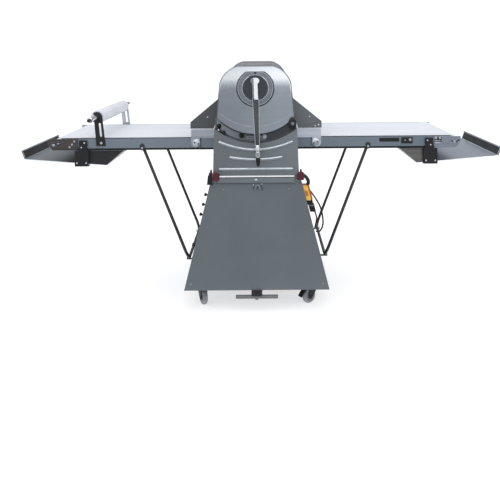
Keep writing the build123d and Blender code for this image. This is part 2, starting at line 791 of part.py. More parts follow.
def fork():
    """A castor fork at the origin, trailing towards +X, with its axle and swivel stem."""
    leg = make_hull(
        (Pos(TRAIL, WHEEL_R) * Circle(14)).edges() + (Pos(3, 83) * Rectangle(50, 8)).edges()
    )
    inner = FORK_GAP
    body = slab(leg, -inner - 3, -inner) + slab(leg, inner, inner + 3)
    body += block((-22, 28), (-inner - 3, inner + 3), (83, 88))
    body += Pos(0, 0, 92) * Cylinder(27, 9)
    body -= rod_y(*BRAKE_PIN, BRAKE_PIN_R + CLEAR, -40, 40)
    return body + rod_y(TRAIL, WHEEL_R, AXLE_R, -inner - 6, inner + 6)


def castor_place(corner):
    """Where the castor at a corner stands and how it is turned."""
    side = -1 if corner.startswith("left") else 1
    if corner.endswith("rear"):
        return Pos(side * CASTOR_X, CASTOR_Y, 0) * Rot(0, 0, CASTOR_TURN["rear"])
    return Pos(side * CASTOR_X, -CASTOR_Y, 0) * Rot(0, 0, CASTOR_TURN[corner.split("_")[0]])


def castor_plate():
    return block((-38, 38), (-32, 32), (97, FLOOR_Z))


def brake_pedal():
    """Brake pedal of the right front castor, on a pin above the wheel."""
    half = FORK_GAP - 0.3
    px, pz = BRAKE_PIN
    line = Polyline((px - 6, pz), (px + 13, pz + 1), (px + 33, pz - 2), (62, 68), (74, 56), (82, 44))
    plate = slab(make_face(offset(line, 2, side=Side.BOTH)), -half, half)
    return plate + rod_y(px, pz, BRAKE_PIN_R, -FORK_GAP - 3.5, FORK_GAP + 3.5)


def rear_castor_forks():
    found = []
    for corner in ("left_rear", "right_rear"):
        weld = Pos(0, 0, 96.5) * Cylinder(18, 2)
        found.append(castor_place(corner) * (fork() + castor_plate() + weld))
    return solids(found)


# ---------------------------------------------------------------- pedal, controls, drive, cable
def foot_pedal():
    bar = rod_x(PEDAL_Y, PEDAL_Z, 9.5, -PEDAL_HALF, PEDAL_HALF)
    bar = fillet(bar.edges().filter_by(GeomType.CIRCLE), 3)
    lug = block((-9, 9), (PEDAL_Y - 6, PEDAL_Y + 6), (58, PEDAL_PIVOT_Z + 7))
    return bar + lug - rod_y(0, PEDAL_PIVOT_Z, 4 + CLEAR, PEDAL_Y - 20, PEDAL_Y + 20)


def pedal_box():
    """Bracket under the cabinet that holds the pedal's pin."""
    box = block((-27, 27), (PEDAL_Y - 15, PEDAL_Y + 15), (PEDAL_BOX_LOW, FLOOR_Z))
    box -= block((-18, 18), (PEDAL_Y - 8, PEDAL_Y + 8), (PEDAL_BOX_LOW - 1, FLOOR_Z - 3))
    return box + rod_y(0, PEDAL_PIVOT_Z, 4, PEDAL_Y - 12, PEDAL_Y + 12)


RECESS_FACE = HOUSING_FRONT - RECESS_DEPTH


def push_button(at, cap_r, stem_r):
    x, z = at
    cap = rod_y(x, z, cap_r, -RECESS_FACE - 16, -RECESS_FACE - 5)
    cap = fillet(cap.edges().group_by(Axis.Y)[0], 2)
    return cap + rod_y(x, z, stem_r, -RECESS_FACE - 6, -RECESS_FACE + 12)


def joystick():
    x, z = JOYSTICK_AT
    pivot_x = x + 3
    pivot_z = 916
    head_back = -COVER_FRONT - 0.6
    foot = (pivot_x, -RECESS_FACE - 3, pivot_z)
    neck = (x, head_back - 4, z - 6)
    path = Line(foot, neck)
    stem = sweep(Plane(origin=path @ 0, z_dir=path % 0) * Circle(5), path=path)
    head = slab(Pos(x, z) * Ellipse(20, 33), head_back - 11, head_back)
    boss = rod_y(pivot_x, pivot_z, 9, -RECESS_FACE - 7, -RECESS_FACE - 0.5)
    return stem + boss + fillet(head.edges(), 5)


def drive_motor():
    body = rod_y(0, MOTOR_Z, 72, 60, 270)
    feet = block((-80, 80), (90, 240), (FLOOR_Z + SHEET + 6.6, MOTOR_Z - 40))
    boss = rod_y(0, MOTOR_Z, 30, 268, 300)
    return body + feet + boss - rod_y(0, MOTOR_Z, 10 + CLEAR, 240, 400)


def motor_pulley():
    shaft = rod_y(0, MOTOR_Z, 10, 250, PULLEY_OUT + 4)
    return shaft + rod_y(0, MOTOR_Z, MOTOR_PULLEY_R, PULLEY_IN, PULLEY_OUT)


def pulley_loop(grow):
    a = Pos(0, MOTOR_Z) * Circle(MOTOR_PULLEY_R + grow)
    b = Pos(0, AXIS_LOW) * Circle(ROLLER_PULLEY_R + grow)
    return make_hull(a.edges() + b.edges())


def drive_belt():
    return slab(pulley_loop(8) - pulley_loop(0.3), PULLEY_IN + 3, PULLEY_OUT - 3)


def leaning_box(x_off, thick, z_low, z_high, y_low, y_high):
    """A box that leans with the right side panel, standing off it by x_off."""
    return slab(
        polygon(
            (cabinet_half(z_low) + x_off, z_low),
            (cabinet_half(z_low) + x_off + thick, z_low),
            (cabinet_half(z_high) + x_off + thick, z_high),
            (cabinet_half(z_high) + x_off, z_high),
        ),
        y_low,
        y_high,
    )


def plug_box():
    """Connector box on the right side panel with two round sockets below it."""
    body = leaning_box(2.0, 34, 549, 624, -425, -365)
    body = fillet(body.edges().filter_by(Axis.Y), 3)
    upper = leaning_box(5.0, 30, 526, 550, -418, -372)
    lower = leaning_box(8.0, 30, 488, 527, -414, -376)
    return body + upper + lower


def tube_along(points, radius):
    path = Spline(*points)
    section = Plane(origin=path @ 0, z_dir=path % 0) * Circle(radius)
    return sweep(section, path=path)


def power_cable():
    elbow_points = [(244, -400, 671), (254, -400, 662), (264, -399, 648), (266, -398, 638), (264, -397, 631)]
    drop_points = [(297, -395, 485), (305, -393, 462), (305, -390, 440), (301, -387, 412)]
    loop_points = [(292, -368, 545), (299, -369, 533), (330, -374, 490), (340, -372, 430), (331, -370, 391)]
    loop_points += [(304, -368, 380)]
    return solids(tube_along(elbow_points, 8), tube_along(drop_points, 3.5), tube_along(loop_points, 3.8))


# ---------------------------------------------------------------- write every piece
os.makedirs("parts", exist_ok=True)

plates = [castor_place(corner) * castor_plate() for corner in ("left_front", "right_front")]

pieces = {
    "cabinet_shell": cabinet_shell(),
    "front_panel": panel(-CAB_DEPTH - PANEL_T),
    "rear_panel": panel(CAB_DEPTH),
    "panel_screws": panel_screws(),
    "base_frame": solids(base_frame(), plates, pedal_box()),
    "ledge_strip": ledge_strip(),
    "ledge_end_blocks": ledge_end_blocks(),
    "panel_latch": panel_latch(),
    "side_knobs": side_knobs(),
    "front_neck_housing": front_neck_housing(),
    "rear_housing": rear_housing(),
    "head_front_cover": head_front_cover(),
    "head_top_cover": head_top_cover(),
    "dial_plate": dial_plate(),
    "thickness_lever": thickness_lever(),
    "lever_grip": lever_grip(),
    "lever_shaft": lever_shaft(),
    "upper_carriage": upper_carriage(),
    "upper_roller": roller(0, AXIS_HIGH, SHEETING_R, SHEETING_HALF, JOURNAL_R, FRAME_OUT + 3),
    "lower_roller": lower_roller(),
    "left_drive_roller": roller(-DRIVE_X, BELT_AXIS, BELT_ROLLER_R, 280, 10, FRAME_OUT + 3),
    "right_drive_roller": roller(DRIVE_X, BELT_AXIS, BELT_ROLLER_R, 280, 10, FRAME_OUT + 3),
    "side_frames": solids(both_ends(side_frame())),
    "inner_frames": solids(inner_frame(), mirror_x(inner_frame())),
    "hinge_cheeks": four(hinge_cheek()),
    "hinge_pins": four(hinge_pin()),
    "drive_motor": drive_motor(),
    "motor_pulley": motor_pulley(),
    "drive_belt": drive_belt(),
    "foot_pedal": foot_pedal(),
    "start_button": push_button(START_AT, 8, 4),
    "stop_button": push_button(STOP_AT, 12, 6),
    "joystick": joystick(),
    "plug_box": plug_box(),
    "power_cable": power_cable(),
    "rollup_brackets": solids(both_ends(rollup_bracket())),
    "rollup_pin": rollup_pin(),
    "rear_castor_forks": rear_castor_forks(),
    "brake_pedal": castor_place("right_front") * brake_pedal(),
}

right_belt_inner = belt_strip(INNER_END - 4, DRIVE_X, -1)
right_belt_outer = belt_strip(HINGE_X + 2, END_X, 1)
pieces["inner_belts"] = solids(right_belt_inner, mirror_x(right_belt_inner))

for side, place in (("right", lambda shape: shape), ("left", mirror_x)):
    pieces[f"{side}_table_frame"] = place(table_frame(side))
    pieces[f"{side}_table_belt"] = place(right_belt_outer)
    pieces[f"{side}_tray"] = place(tray(side))
    pieces[f"{side}_tray_brackets"] = place(tray_brackets())
    pieces[f"{side}_support_rod"] = place(support_rod(side))
    pieces[f"{side}_guard"] = place(guard())
    pieces[f"{side}_end_roller"] = place(roller(END_X, BELT_AXIS, BELT_ROLLER_R, 280, 6, RAIL_OUT + 3))
    pieces[f"{side}_castor_fork"] = castor_place(f"{side}_front") * fork()
    for end in ("front", "rear"):
        pieces[f"{side}_{end}_wheel"] = castor_place(f"{side}_{end}") * Pos(TRAIL, 0, 0) * wheel()

for name, shape in pieces.items():
    save(name, shape)
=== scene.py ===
import json
import math

import bmesh
import bpy
from mathutils import Matrix, Vector


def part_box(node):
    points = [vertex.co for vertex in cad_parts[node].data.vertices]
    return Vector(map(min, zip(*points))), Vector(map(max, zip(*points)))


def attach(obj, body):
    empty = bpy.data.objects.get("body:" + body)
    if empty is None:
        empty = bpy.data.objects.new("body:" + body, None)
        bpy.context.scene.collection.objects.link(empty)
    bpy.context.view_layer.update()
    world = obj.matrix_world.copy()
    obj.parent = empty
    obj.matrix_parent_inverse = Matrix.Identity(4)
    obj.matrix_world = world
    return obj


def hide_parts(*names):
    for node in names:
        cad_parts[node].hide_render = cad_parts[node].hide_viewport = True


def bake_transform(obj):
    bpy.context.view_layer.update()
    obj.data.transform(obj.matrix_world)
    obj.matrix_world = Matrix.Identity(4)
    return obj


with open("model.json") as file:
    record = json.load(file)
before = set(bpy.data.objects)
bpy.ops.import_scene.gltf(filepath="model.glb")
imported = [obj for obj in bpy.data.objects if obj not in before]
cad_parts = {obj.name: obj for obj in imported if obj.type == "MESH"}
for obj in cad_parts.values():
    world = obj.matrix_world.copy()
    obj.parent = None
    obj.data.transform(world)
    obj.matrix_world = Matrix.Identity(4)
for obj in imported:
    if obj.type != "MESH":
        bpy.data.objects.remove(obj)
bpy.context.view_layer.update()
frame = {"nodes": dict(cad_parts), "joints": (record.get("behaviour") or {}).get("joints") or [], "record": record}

NODES = frame["nodes"]
JOINTS = {joint["name"]: joint for joint in frame["joints"]}
SIDES = (("left", -1), ("right", 1))
FRONT, REAR = -1, 1
ENDS = (FRONT, REAR)
X, Y, Z = 0, 1, 2
MM = 0.001


# ---------------------------------------------------------------- materials
class Shader:
    """A principled material built up from procedural nodes."""

    def __init__(self, name, color, rough=0.5, metal=0.0, coat=0.0):
        self.mat = bpy.data.materials.new(name)
        self.mat.use_nodes = True
        self.tree = self.mat.node_tree
        self.bsdf = self.tree.nodes["Principled BSDF"]
        self.set("Base Color", (*color, 1))
        self.set("Roughness", rough)
        self.set("Metallic", metal)
        self.set("Coat Weight", coat)
        self.set("Coat Roughness", 0.15)
        self.color = color
        self.height = None
        self.mat.diffuse_color = (*color, 1)

    def set(self, socket, value):
        self.bsdf.inputs[socket].default_value = value

    def node(self, kind, **values):
        made = self.tree.nodes.new(kind)
        for key, value in values.items():
            if key in made.inputs:
                made.inputs[key].default_value = value
            else:
                setattr(made, key, value)
        return made

    def link(self, source, target):
        self.tree.links.new(source, target)

    def place(self):
        """The object's own coordinates."""
        return self.node("ShaderNodeTexCoord").outputs["Object"]

    def noise(self, scale, stretch=(1, 1, 1), detail=4.0, roughness=0.55):
        """Noise in the object's own coordinates, stretched along an axis for grain."""
        mapping = self.node("ShaderNodeMapping", Scale=stretch)
        texture = self.node("ShaderNodeTexNoise", Scale=scale, Detail=detail, Roughness=roughness)
        self.link(self.place(), mapping.inputs["Vector"])
        self.link(mapping.outputs["Vector"], texture.inputs["Vector"])
        return texture.outputs["Fac"]

    def combine(self, operation, first, second):
        """Two values added or multiplied; the second may be a plain number."""
        made = self.node("ShaderNodeMath", operation=operation)
        self.link(first, made.inputs[0])
        if isinstance(second, float):
            made.inputs[1].default_value = second
        else:
            self.link(second, made.inputs[1])
        return made.outputs[0]

    def ramp(self, value, low, high, low_at=0.35, high_at=0.65):
        """Maps a texture's middle range onto the range low to high."""
        limits = {"From Min": low_at, "From Max": high_at, "To Min": low, "To Max": high}
        made = self.node("ShaderNodeMapRange", **limits)
        self.link(value, made.inputs["Value"])
        return made.outputs["Result"]

    def vary_color(self, value, dark, light, low_at=0.35, high_at=0.65):
        """Shades the base colour between two multiples of itself."""
        mix = self.node("ShaderNodeMix", data_type="RGBA")
        for socket, share in ((6, dark), (7, light)):
            mix.inputs[socket].default_value = (*[min(c * share, 1) for c in self.color], 1)
        self.link(self.ramp(value, 0, 1, low_at, high_at), mix.inputs[0])
        self.link(mix.outputs[2], self.bsdf.inputs["Base Color"])

    def vary_rough(self, value, low, high):
        self.link(self.ramp(value, low, high), self.bsdf.inputs["Roughness"])

    def bump(self, value, strength, distance):
        """Raises the surface by a texture, on top of any bump that is there."""
        made = self.node("ShaderNodeBump", Strength=strength, Distance=distance)
        self.link(value, made.inputs["Height"])
        if self.height is not None:
            self.link(self.height, made.inputs["Normal"])
        self.height = made.outputs["Normal"]
        self.link(self.height, self.bsdf.inputs["Normal"])

    def slope(self, axis, start, end, first, last):
        """Multiplies the base colour by a factor that runs along an object axis."""
        split = self.node("ShaderNodeSeparateXYZ")
        self.link(self.place(), split.inputs[0])
        mix = self.node("ShaderNodeMix", data_type="RGBA", blend_type="MULTIPLY")
        mix.inputs[0].default_value = 1.0
        mix.inputs[6].default_value = (*self.color, 1)
        target = self.bsdf.inputs["Base Color"]
        if target.is_linked:
            self.link(target.links[0].from_socket, mix.inputs[6])
        self.link(self.ramp(split.outputs[axis], first, last, start, end), mix.inputs[7])
        self.link(mix.outputs[2], target)


def painted(name, color, rough=0.42, metal=0.0, texture=0.25, shine=0.5, slope=None):
    """Sprayed paint: fine orange peel, faint colour drift and rubbed patches."""
    made = Shader(name, color, rough, metal, 0.12 if shine > 0.4 else 0.0)
    made.set("Specular IOR Level", shine)
    made.vary_color(made.noise(3.2, detail=6), 0.94, 1.06)
    made.vary_rough(made.noise(14, detail=8), rough - 0.07, rough + 0.09)
    made.bump(made.noise(900, detail=2), texture, 0.0002)
    if slope:
        made.slope(*slope)
    return made.mat


def brushed(name, color, grain, rough=0.26, contrast=0.1, strength=0.22, drift=1.0, slope=None):
    """Brushed metal: long fine lines along the grain axis, with a broad drift in tone."""
    made = Shader(name, color, rough, 1.0)
    fine = tuple(9.0 if axis == grain else 1500.0 for axis in range(3))
    coarse = tuple(1.5 if axis == grain else 90.0 for axis in range(3))
    lines = made.noise(1.0, fine, detail=5, roughness=0.7)
    bands = made.noise(1.0, coarse, detail=4)
    mean = made.combine("MULTIPLY", made.combine("ADD", lines, bands), 0.5)
    made.vary_color(mean, 1 - contrast, 1 + contrast)
    made.vary_rough(bands, rough - 0.05 * drift, rough + 0.07 * drift)
    made.bump(lines, strength, 0.0002)
    if slope:
        made.slope(*slope)
    return made.mat


def polished(name, color, rough=0.12):
    """Polished metal with hairline scratches and smudges."""
    made = Shader(name, color, rough, 1.0)
    made.vary_rough(made.noise(25, detail=8), rough * 0.7, rough * 1.9)
    made.bump(made.noise(1.0, (40, 1400, 1400), detail=3), 0.08, 0.0001)
    return made.mat


def zinc(name, color):
    """Zinc plate: patchy crystals in tone and gloss."""
    made = Shader(name, color, 0.35, 1.0)
    cells = made.node("ShaderNodeTexVoronoi", Scale=260.0)
    made.link(made.place(), cells.inputs["Vector"])
    made.vary_color(cells.outputs["Distance"], 0.86, 1.08, 0.1, 0.6)
    made.vary_rough(made.noise(60, detail=6), 0.28, 0.45)
    made.bump(made.noise(700, detail=3), 0.15, 0.0002)
    return made.mat


def plastic(name, color, rough=0.45, grain=1400, shine=0.5):
    """Moulded plastic with a fine spark-eroded grain."""
    made = Shader(name, color, rough)
    made.set("Specular IOR Level", shine)
    made.vary_color(made.noise(40, detail=5), 0.9, 1.1)
    made.vary_rough(made.noise(120, detail=4), rough - 0.08, rough + 0.08)
    made.bump(made.noise(grain, detail=2), 0.35, 0.0002)
    return made.mat


def woven(name, color):
    """Coated conveyor cloth: a fine plain weave under a white coat, with faint flour smears."""
    made = Shader(name, color, 0.62)
    made.set("Sheen Weight", 0.15)
    threads = []
    for direction in ("X", "Y"):
        wave = made.node("ShaderNodeTexWave", wave_type="BANDS", bands_direction=direction,
                         Scale=230.0, Distortion=0.6, Detail=1.0)
        made.link(made.place(), wave.inputs["Vector"])
        threads.append(wave.outputs["Fac"])
    made.vary_color(made.noise(1.0, (1.5, 9, 9), detail=7), 0.965, 1.02)
    made.vary_rough(made.noise(30, detail=6), 0.55, 0.72)
    made.bump(made.combine("MULTIPLY", *threads), 0.22, 0.0004)
    return made.mat


def rubber(name, color, rough=0.68):
    """Rubber with a dull, slightly dusty surface."""
    made = Shader(name, color, rough)
    made.vary_color(made.noise(50, detail=8), 0.82, 1.16)
    made.vary_rough(made.noise(90, detail=5), rough - 0.1, rough + 0.12)
    made.bump(made.noise(600, detail=4), 0.3, 0.0004)
    return made.mat


def cast(name, color):
    """Painted casting with a coarse sand texture."""
    made = Shader(name, color, 0.55, 0.2)
    made.vary_color(made.noise(45, detail=7), 0.85, 1.12)
    made.bump(made.noise(350, detail=6), 0.6, 0.0006)
    return made.mat


def shaded(name, color, *slope):
    """Dull steel whose tone changes along X, where a neighbour keeps light off it."""
    made = Shader(name, color, 0.34, 1.0)
    made.slope(X, *slope)
    made.vary_rough(made.noise(1.0, (6, 300, 300), detail=5), 0.28, 0.42)
    made.bump(made.noise(1.0, (9, 1500, 1500), detail=4), 0.2, 0.0002)
    return made.mat


# Painted light: these slopes make the cover steel, the neck paint and the plate steel lighter towards the
# machine's right.
COVER_LIGHT_SLOPE = (X, -0.12, 0.12, 0.93, 1.19)
NECK_LIGHT_SLOPE = (X, -0.18, 0.18, 1.0, 1.26)
PLATE_LIGHT_SLOPE = (X, -0.25, 0.25, 1.0, 1.38)
MAT = {
    "slate_paint": painted("slate paint", (0.098, 0.115, 0.128)),
    "neck_paint": painted("neck paint", (0.106, 0.121, 0.130), 0.40, slope=NECK_LIGHT_SLOPE),
    "cover_steel": brushed("cover steel", (0.75, 0.78, 0.82), X, 0.060, 0.03, 0.03, 0.18, COVER_LIGHT_SLOPE),
    # A darker copy of the cover's brushed steel for the rim: painted shade on the edge that turns away.
    "rim_steel": brushed("rim steel", (0.17, 0.18, 0.195), Y, 0.34, 0.08),
    "top_steel": brushed("top steel", (0.31, 0.325, 0.35), Y, 0.30),
    "guard_paint": painted("guard paint", (0.080, 0.085, 0.089), 0.38, 0.3),
    # Painted light: a lighter copy of the guard paint, used for the right guard.
    "guard_paint_lit": painted("guard paint lit", (0.138, 0.148, 0.155), 0.38, 0.3),
    "rail_steel": painted("rail steel", (0.165, 0.200, 0.235), 0.34, 0.35),
    "frame_steel": painted("frame steel", (0.10, 0.11, 0.12), 0.5),
    "plate_steel": brushed("plate steel", (0.56, 0.59, 0.64), X, 0.30, 0.08, slope=PLATE_LIGHT_SLOPE),
    "bright_steel": polished("bright steel", (0.80, 0.81, 0.83)),
    "white_metal": painted("ledge white", (0.88, 0.88, 0.89), 0.30, 0.0, 0.1),
    "zinc": zinc("zinc", (0.62, 0.64, 0.67)),
    "dial_grey": painted("dial grey", (0.165, 0.175, 0.19), 0.34, 0.4),
    "dial_dark": painted("dial dark", (0.040, 0.046, 0.055), 0.30, 0.4),
    "lever_steel": brushed("lever steel", (0.13, 0.135, 0.14), Z, 0.28, 0.12),
    "lever_bright": painted("lever white", (0.80, 0.81, 0.83), 0.28, 0.3, 0.1),
    "black_plastic": plastic("black plastic", (0.009, 0.009, 0.010), shine=0.3),
    "black_paint": painted("black paint", (0.014, 0.014, 0.015), shine=0.3),
    "red_plastic": plastic("red plastic", (0.070, 0.010, 0.014), 0.4, 900, 0.4),
    "amber_plastic": plastic("amber plastic", (0.72, 0.42, 0.06), 0.42, 900),
    "orange_plastic": plastic("orange plastic", (0.42, 0.12, 0.015), 0.42, 900),
    "belt_white": woven("belt cloth", (0.70, 0.715, 0.76)),
    # A darker copy of the tray steel for the right tray's gussets: painted shade.
    "tray_dark": brushed("tray steel dark", (0.24, 0.23, 0.215), X, 0.34, 0.12),
    # Painted shade: the left tray's floor darkens towards the table.
    "tray_floor_shaded": shaded("tray floor painted shade", (0.34, 0.37, 0.40), -1.20, -0.99, 1.0, 0.10),
    "lip_dark": painted("tray lip dark", (0.020, 0.021, 0.022), 0.5, 0.0, 0.25, 0.25),
    "plate_brown": brushed("end plate brown", (0.125, 0.112, 0.104), X, 0.36, 0.16),
    "maroon_plastic": plastic("maroon plastic", (0.060, 0.010, 0.014), 0.4, 900),
    "ring_steel": brushed("dial ring steel", (0.26, 0.27, 0.30), X, 0.34, 0.12),
    "rib_steel": polished("rib steel", (0.44, 0.46, 0.49), 0.38),
    "boss_steel": polished("boss steel", (0.62, 0.64, 0.67), 0.42),
    # Painted shade: the recess lining darkens towards the right, where the cover overhangs it.
    "recess_shaded_steel": shaded("recess steel painted shade", (0.36, 0.385, 0.42), -0.14, 0.02, 1.0, 0.30),
    "tray_shaded": shaded("tray steel shaded", (0.42, 0.46, 0.52), 0.950, 1.04, 0.50, 1.0),
    "screw_grey": zinc("screw grey", (0.26, 0.27, 0.28)),
    "grip_steel": polished("grip chrome", (0.88, 0.89, 0.91), 0.08),
    "pedal_grey": painted("pedal grey", (0.125, 0.125, 0.13), 0.45),
    "tray_light": brushed("tray steel light", (0.40, 0.44, 0.50), X, 0.34, 0.10),
    "rod_dark": painted("rod dark", (0.034, 0.034, 0.035), 0.34, 0.3),
    "pin_white": painted("pin white", (0.72, 0.735, 0.78), 0.42, 0.0, 0.12, 0.4),
    "wheel_grey": rubber("wheel grey", (0.25, 0.26, 0.27)),
    "motor_iron": cast("motor iron", (0.08, 0.10, 0.12)),
    "cable_black": rubber("cable black", (0.012, 0.012, 0.012), 0.5),
}
SLOT_MATERIAL = {"tray_steel": "tray_light"}


def dress(obj, material):
    """Gives a piece one material in place of what it has."""
    obj.data.materials.clear()
    obj.data.materials.append(MAT[material])


for entry in frame["record"]["subparts"]:
    slot_name = entry["material_slot"]
    dress(NODES[entry["node"]], SLOT_MATERIAL.get(slot_name, slot_name))
dress(NODES["front_neck_housing"], "neck_paint")


# ---------------------------------------------------------------- mesh helpers
def piece(name, bm, material, body="base", stands_for=(), bevel=0.0, segments=2):
    """Turns a bmesh into a shown piece on a body; the bevel is a width in millimetres."""
    sharp = math.radians(35)
    bmesh.ops.remove_doubles(bm, verts=bm.verts, dist=1e-6)
    bmesh.ops.recalc_face_normals(bm, faces=bm.faces)
    obj = new_object(name, bm)
    for face in obj.data.polygons:
        face.use_smooth = True
    obj.data.set_sharp_from_angle(angle=sharp)
    if bevel:
        soft = obj.modifiers.new("soft edges", "BEVEL")
        soft.width = bevel * MM
        soft.segments = segments
        soft.limit_method = "ANGLE"
        soft.angle_limit = sharp
        soft.harden_normals = True
    dress(obj, material)
    if body is not None:
        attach(obj, body)
    if stands_for:
        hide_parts(*([stands_for] if isinstance(stands_for, str) else stands_for))
    return obj


def new_object(name, bm):
    mesh = bpy.data.meshes.new(name)
    bm.to_mesh(mesh)
    bm.free()
    return show(bpy.data.objects.new(name, mesh))


def show(obj):
    bpy.context.scene.collection.objects.link(obj)
    return obj


def skin(bm, loops, closed=False):
    """Joins rings of equal length with faces, each to the next, and the last to the first if closed."""
    for first, second in zip(loops, loops[1:] + (loops[:1] if closed else [])):
        for i in range(len(first)):
            j = (i + 1) % len(first)
            bm.faces.new((first[i], first[j], second[j], second[i]))


def caps(bm, loops):
    """Closes a skin's two ends."""
    bm.faces.new(loops[0])
    bm.faces.new(loops[-1][::-1])
    return bm


def point_on(axis, u, v, depth):
    """A point given by its depth along an axis and its other two coordinates."""
    return {X: (depth, u, v), Y: (u, depth, v), Z: (u, v, depth)}[axis]


def prism(outline, low, high, axis=Y, bm=None):
    """A closed outline of (u, v) points, extruded along an axis between two depths.
    For axis Y the outline is in X and Z, for axis X in Y and Z, for axis Z in X and Y."""
    bm = bm or bmesh.new()
    loops = [[bm.verts.new(point_on(axis, u, v, depth)) for u, v in outline] for depth in sorted((low, high))]
    skin(bm, loops)
    return caps(bm, loops)


def box(low, high, bm=None, mirror=(1, 1)):
    """A box between two corners, mirrored in X and Y by a pair of signs."""
    (x0, x1), (y0, y1) = (sorted((low[k] * mirror[k], high[k] * mirror[k])) for k in (X, Y))
    return prism([(x0, low[2]), (x1, low[2]), (x1, high[2]), (x0, high[2])], y0, y1, Y, bm)


def flip(outline, sign):
    """An outline of (x, z) points, mirrored in X if the sign is -1."""
    return [(sign * x, z) for x, z in outline]


def circle(radius, steps):
    """Points around a circle, from its first axis towards its second."""
    turns = [2 * math.pi * step / steps for step in range(steps)]
    return [(radius * math.cos(turn), radius * math.sin(turn)) for turn in turns]


def lathe(profile, centre, axis=Y, steps=40, bm=None):
    """A closed profile of (distance along the axis, radius) points, turned about the axis."""
    bm = bm or bmesh.new()
    centre = Vector(centre)
    rings = []
    for along, radius in profile:
        ring = circle(radius, steps)
        rings.append([bm.verts.new(centre + Vector(point_on(axis, a, b, along))) for a, b in ring])
    skin(bm, rings)
    return caps(bm, rings)


def rounded(low, high, radius, soft, steps=3):
    """Profile of a round bar between two positions, with softened rims."""
    quarter = [(soft * (1 - math.cos(a)), radius - soft + soft * math.sin(a))
               for a in (math.pi / 2 * step / steps for step in range(steps + 1))]
    return [(low + a, r) for a, r in quarter] + [(high - a, r) for a, r in quarter[::-1]]


def tube(points, radius, steps=14, bm=None):
    """A round tube along a list of points."""
    bm = bm or bmesh.new()
    points = [Vector(p) for p in points]
    rings = []
    side = None
    for i, here in enumerate(points):
        ahead = points[min(i + 1, len(points) - 1)]
        behind = points[max(i - 1, 0)]
        forward = (ahead - behind).normalized()
        if side is None:
            side = forward.cross(Vector((0, 0, 1)))
            if side.length < 1e-3:
                side = forward.cross(Vector((0, 1, 0)))
        side = (side - forward * side.dot(forward)).normalized()
        other = forward.cross(side)
        rings.append([bm.verts.new(here + side * a + other * b) for a, b in circle(radius, steps)])
    skin(bm, rings)
    return caps(bm, rings)


def arc(centre, radius, start, end, steps):
    """Points on a circle between two angles in degrees."""
    turns = [math.radians(start + (end - start) * step / steps) for step in range(steps + 1)]
    return [(centre[0] + radius * math.cos(turn), centre[1] + radius * math.sin(turn)) for turn in turns]


def dish(half, rise, bottom, steps, width=None):
    """A round-bottomed line: part of the circle that rises by rise over half, drawn out to a width."""
    radius = (half * half + rise * rise) / (2 * rise)
    reach = math.asin((width or half) / radius)
    turns = [reach * (2 * step / steps - 1) for step in range(steps + 1)]
    return [(radius * math.sin(turn), bottom + radius * (1 - math.cos(turn))) for turn in turns]


def slot_outline(first, second, radius, start, steps=8):
    """A slot with round ends about two points; start is the angle at which the first end begins."""
    half_way = start + 180
    return arc(first, radius, start, half_way, steps) + arc(second, radius, half_way, start + 360, steps)


def smooth_path(points, per_span=10):
    """Catmull-Rom curve through points."""
    pts = [Vector(p) for p in points]
    pts = [pts[0] * 2 - pts[1]] + pts + [pts[-1] * 2 - pts[-2]]
    found = []
    for i in range(1, len(pts) - 2):
        a, b, c, d = pts[i - 1:i + 3]
        for t in (step / per_span for step in range(per_span)):
            bend = (2 * a - 5 * b + 4 * c - d) * t * t + (3 * b - a - 3 * c + d) * t ** 3
            found.append(0.5 * (2 * b + (c - a) * t + bend))
    return found + [pts[-2]]


def fillet_path(points, radius, steps=8):
    """A polyline in space with its inner corners rounded."""
    pts = [Vector(p) for p in points]
    found = [pts[0]]
    for before, here, after in zip(pts, pts[1:], pts[2:]):
        a = (before - here).normalized()
        b = (after - here).normalized()
        half = a.angle(b) / 2
        reach = radius / math.tan(half)
        middle = here + (a + b).normalized() * (radius / math.sin(half))
        start, end = here + a * reach, here + b * reach
        for step in range(steps + 1):
            found.append(middle + (start - middle).slerp(end - middle, step / steps).normalized() * radius)
    return found + [pts[-1]]


def mitre(before, after, least):
    """Offset per unit of thickness at a corner between two directions."""
    n1, n2 = Vector((-before.y, before.x)), Vector((-after.y, after.x))
    n = (n1 + n2).normalized()
    return n / max(n.dot(n1), least)


def bent_sheet(line, thickness, low, high):
    """A sheet whose section is an open line of (x, z) points, given a thickness and run along Y."""
    pts = [Vector(p) for p in line]
    ways = [(b - a).normalized() for a, b in zip(pts, pts[1:])]
    offsets = [mitre(a, b, 0.4) * thickness / 2 for a, b in zip(ways[:1] + ways, ways + ways[-1:])]
    upper = [tuple(p + offset) for p, offset in zip(pts, offsets)]
    lower = [tuple(p - offset) for p, offset in zip(pts, offsets)]
    return prism(upper + lower[::-1], low, high)


def round_line(line, radius, steps=4):
    """An open line of (x, z) points with rounded corners."""
    return [(p.x, p.z) for p in fillet_path([(x, 0, z) for x, z in line], radius, steps)]


def turned(bm, matrix):
    """Moves a bmesh by a matrix."""
    bmesh.ops.transform(bm, matrix=matrix, verts=bm.verts)
    return bm


def facing(at, direction):
    """Matrix that puts a shape built up along Z on a point, facing a direction."""
    turn = Vector((0, 0, 1)).rotation_difference(Vector(direction)).to_matrix().to_4x4()
    return Matrix.Translation(Vector(at)) @ turn


def join(target, source):
    """Adds one bmesh to another, if there is another."""
    if target is None:
        return source
    mesh = bpy.data.meshes.new("join")
    source.to_mesh(mesh)
    source.free()
    target.from_mesh(mesh)
    bpy.data.meshes.remove(mesh)
    return target


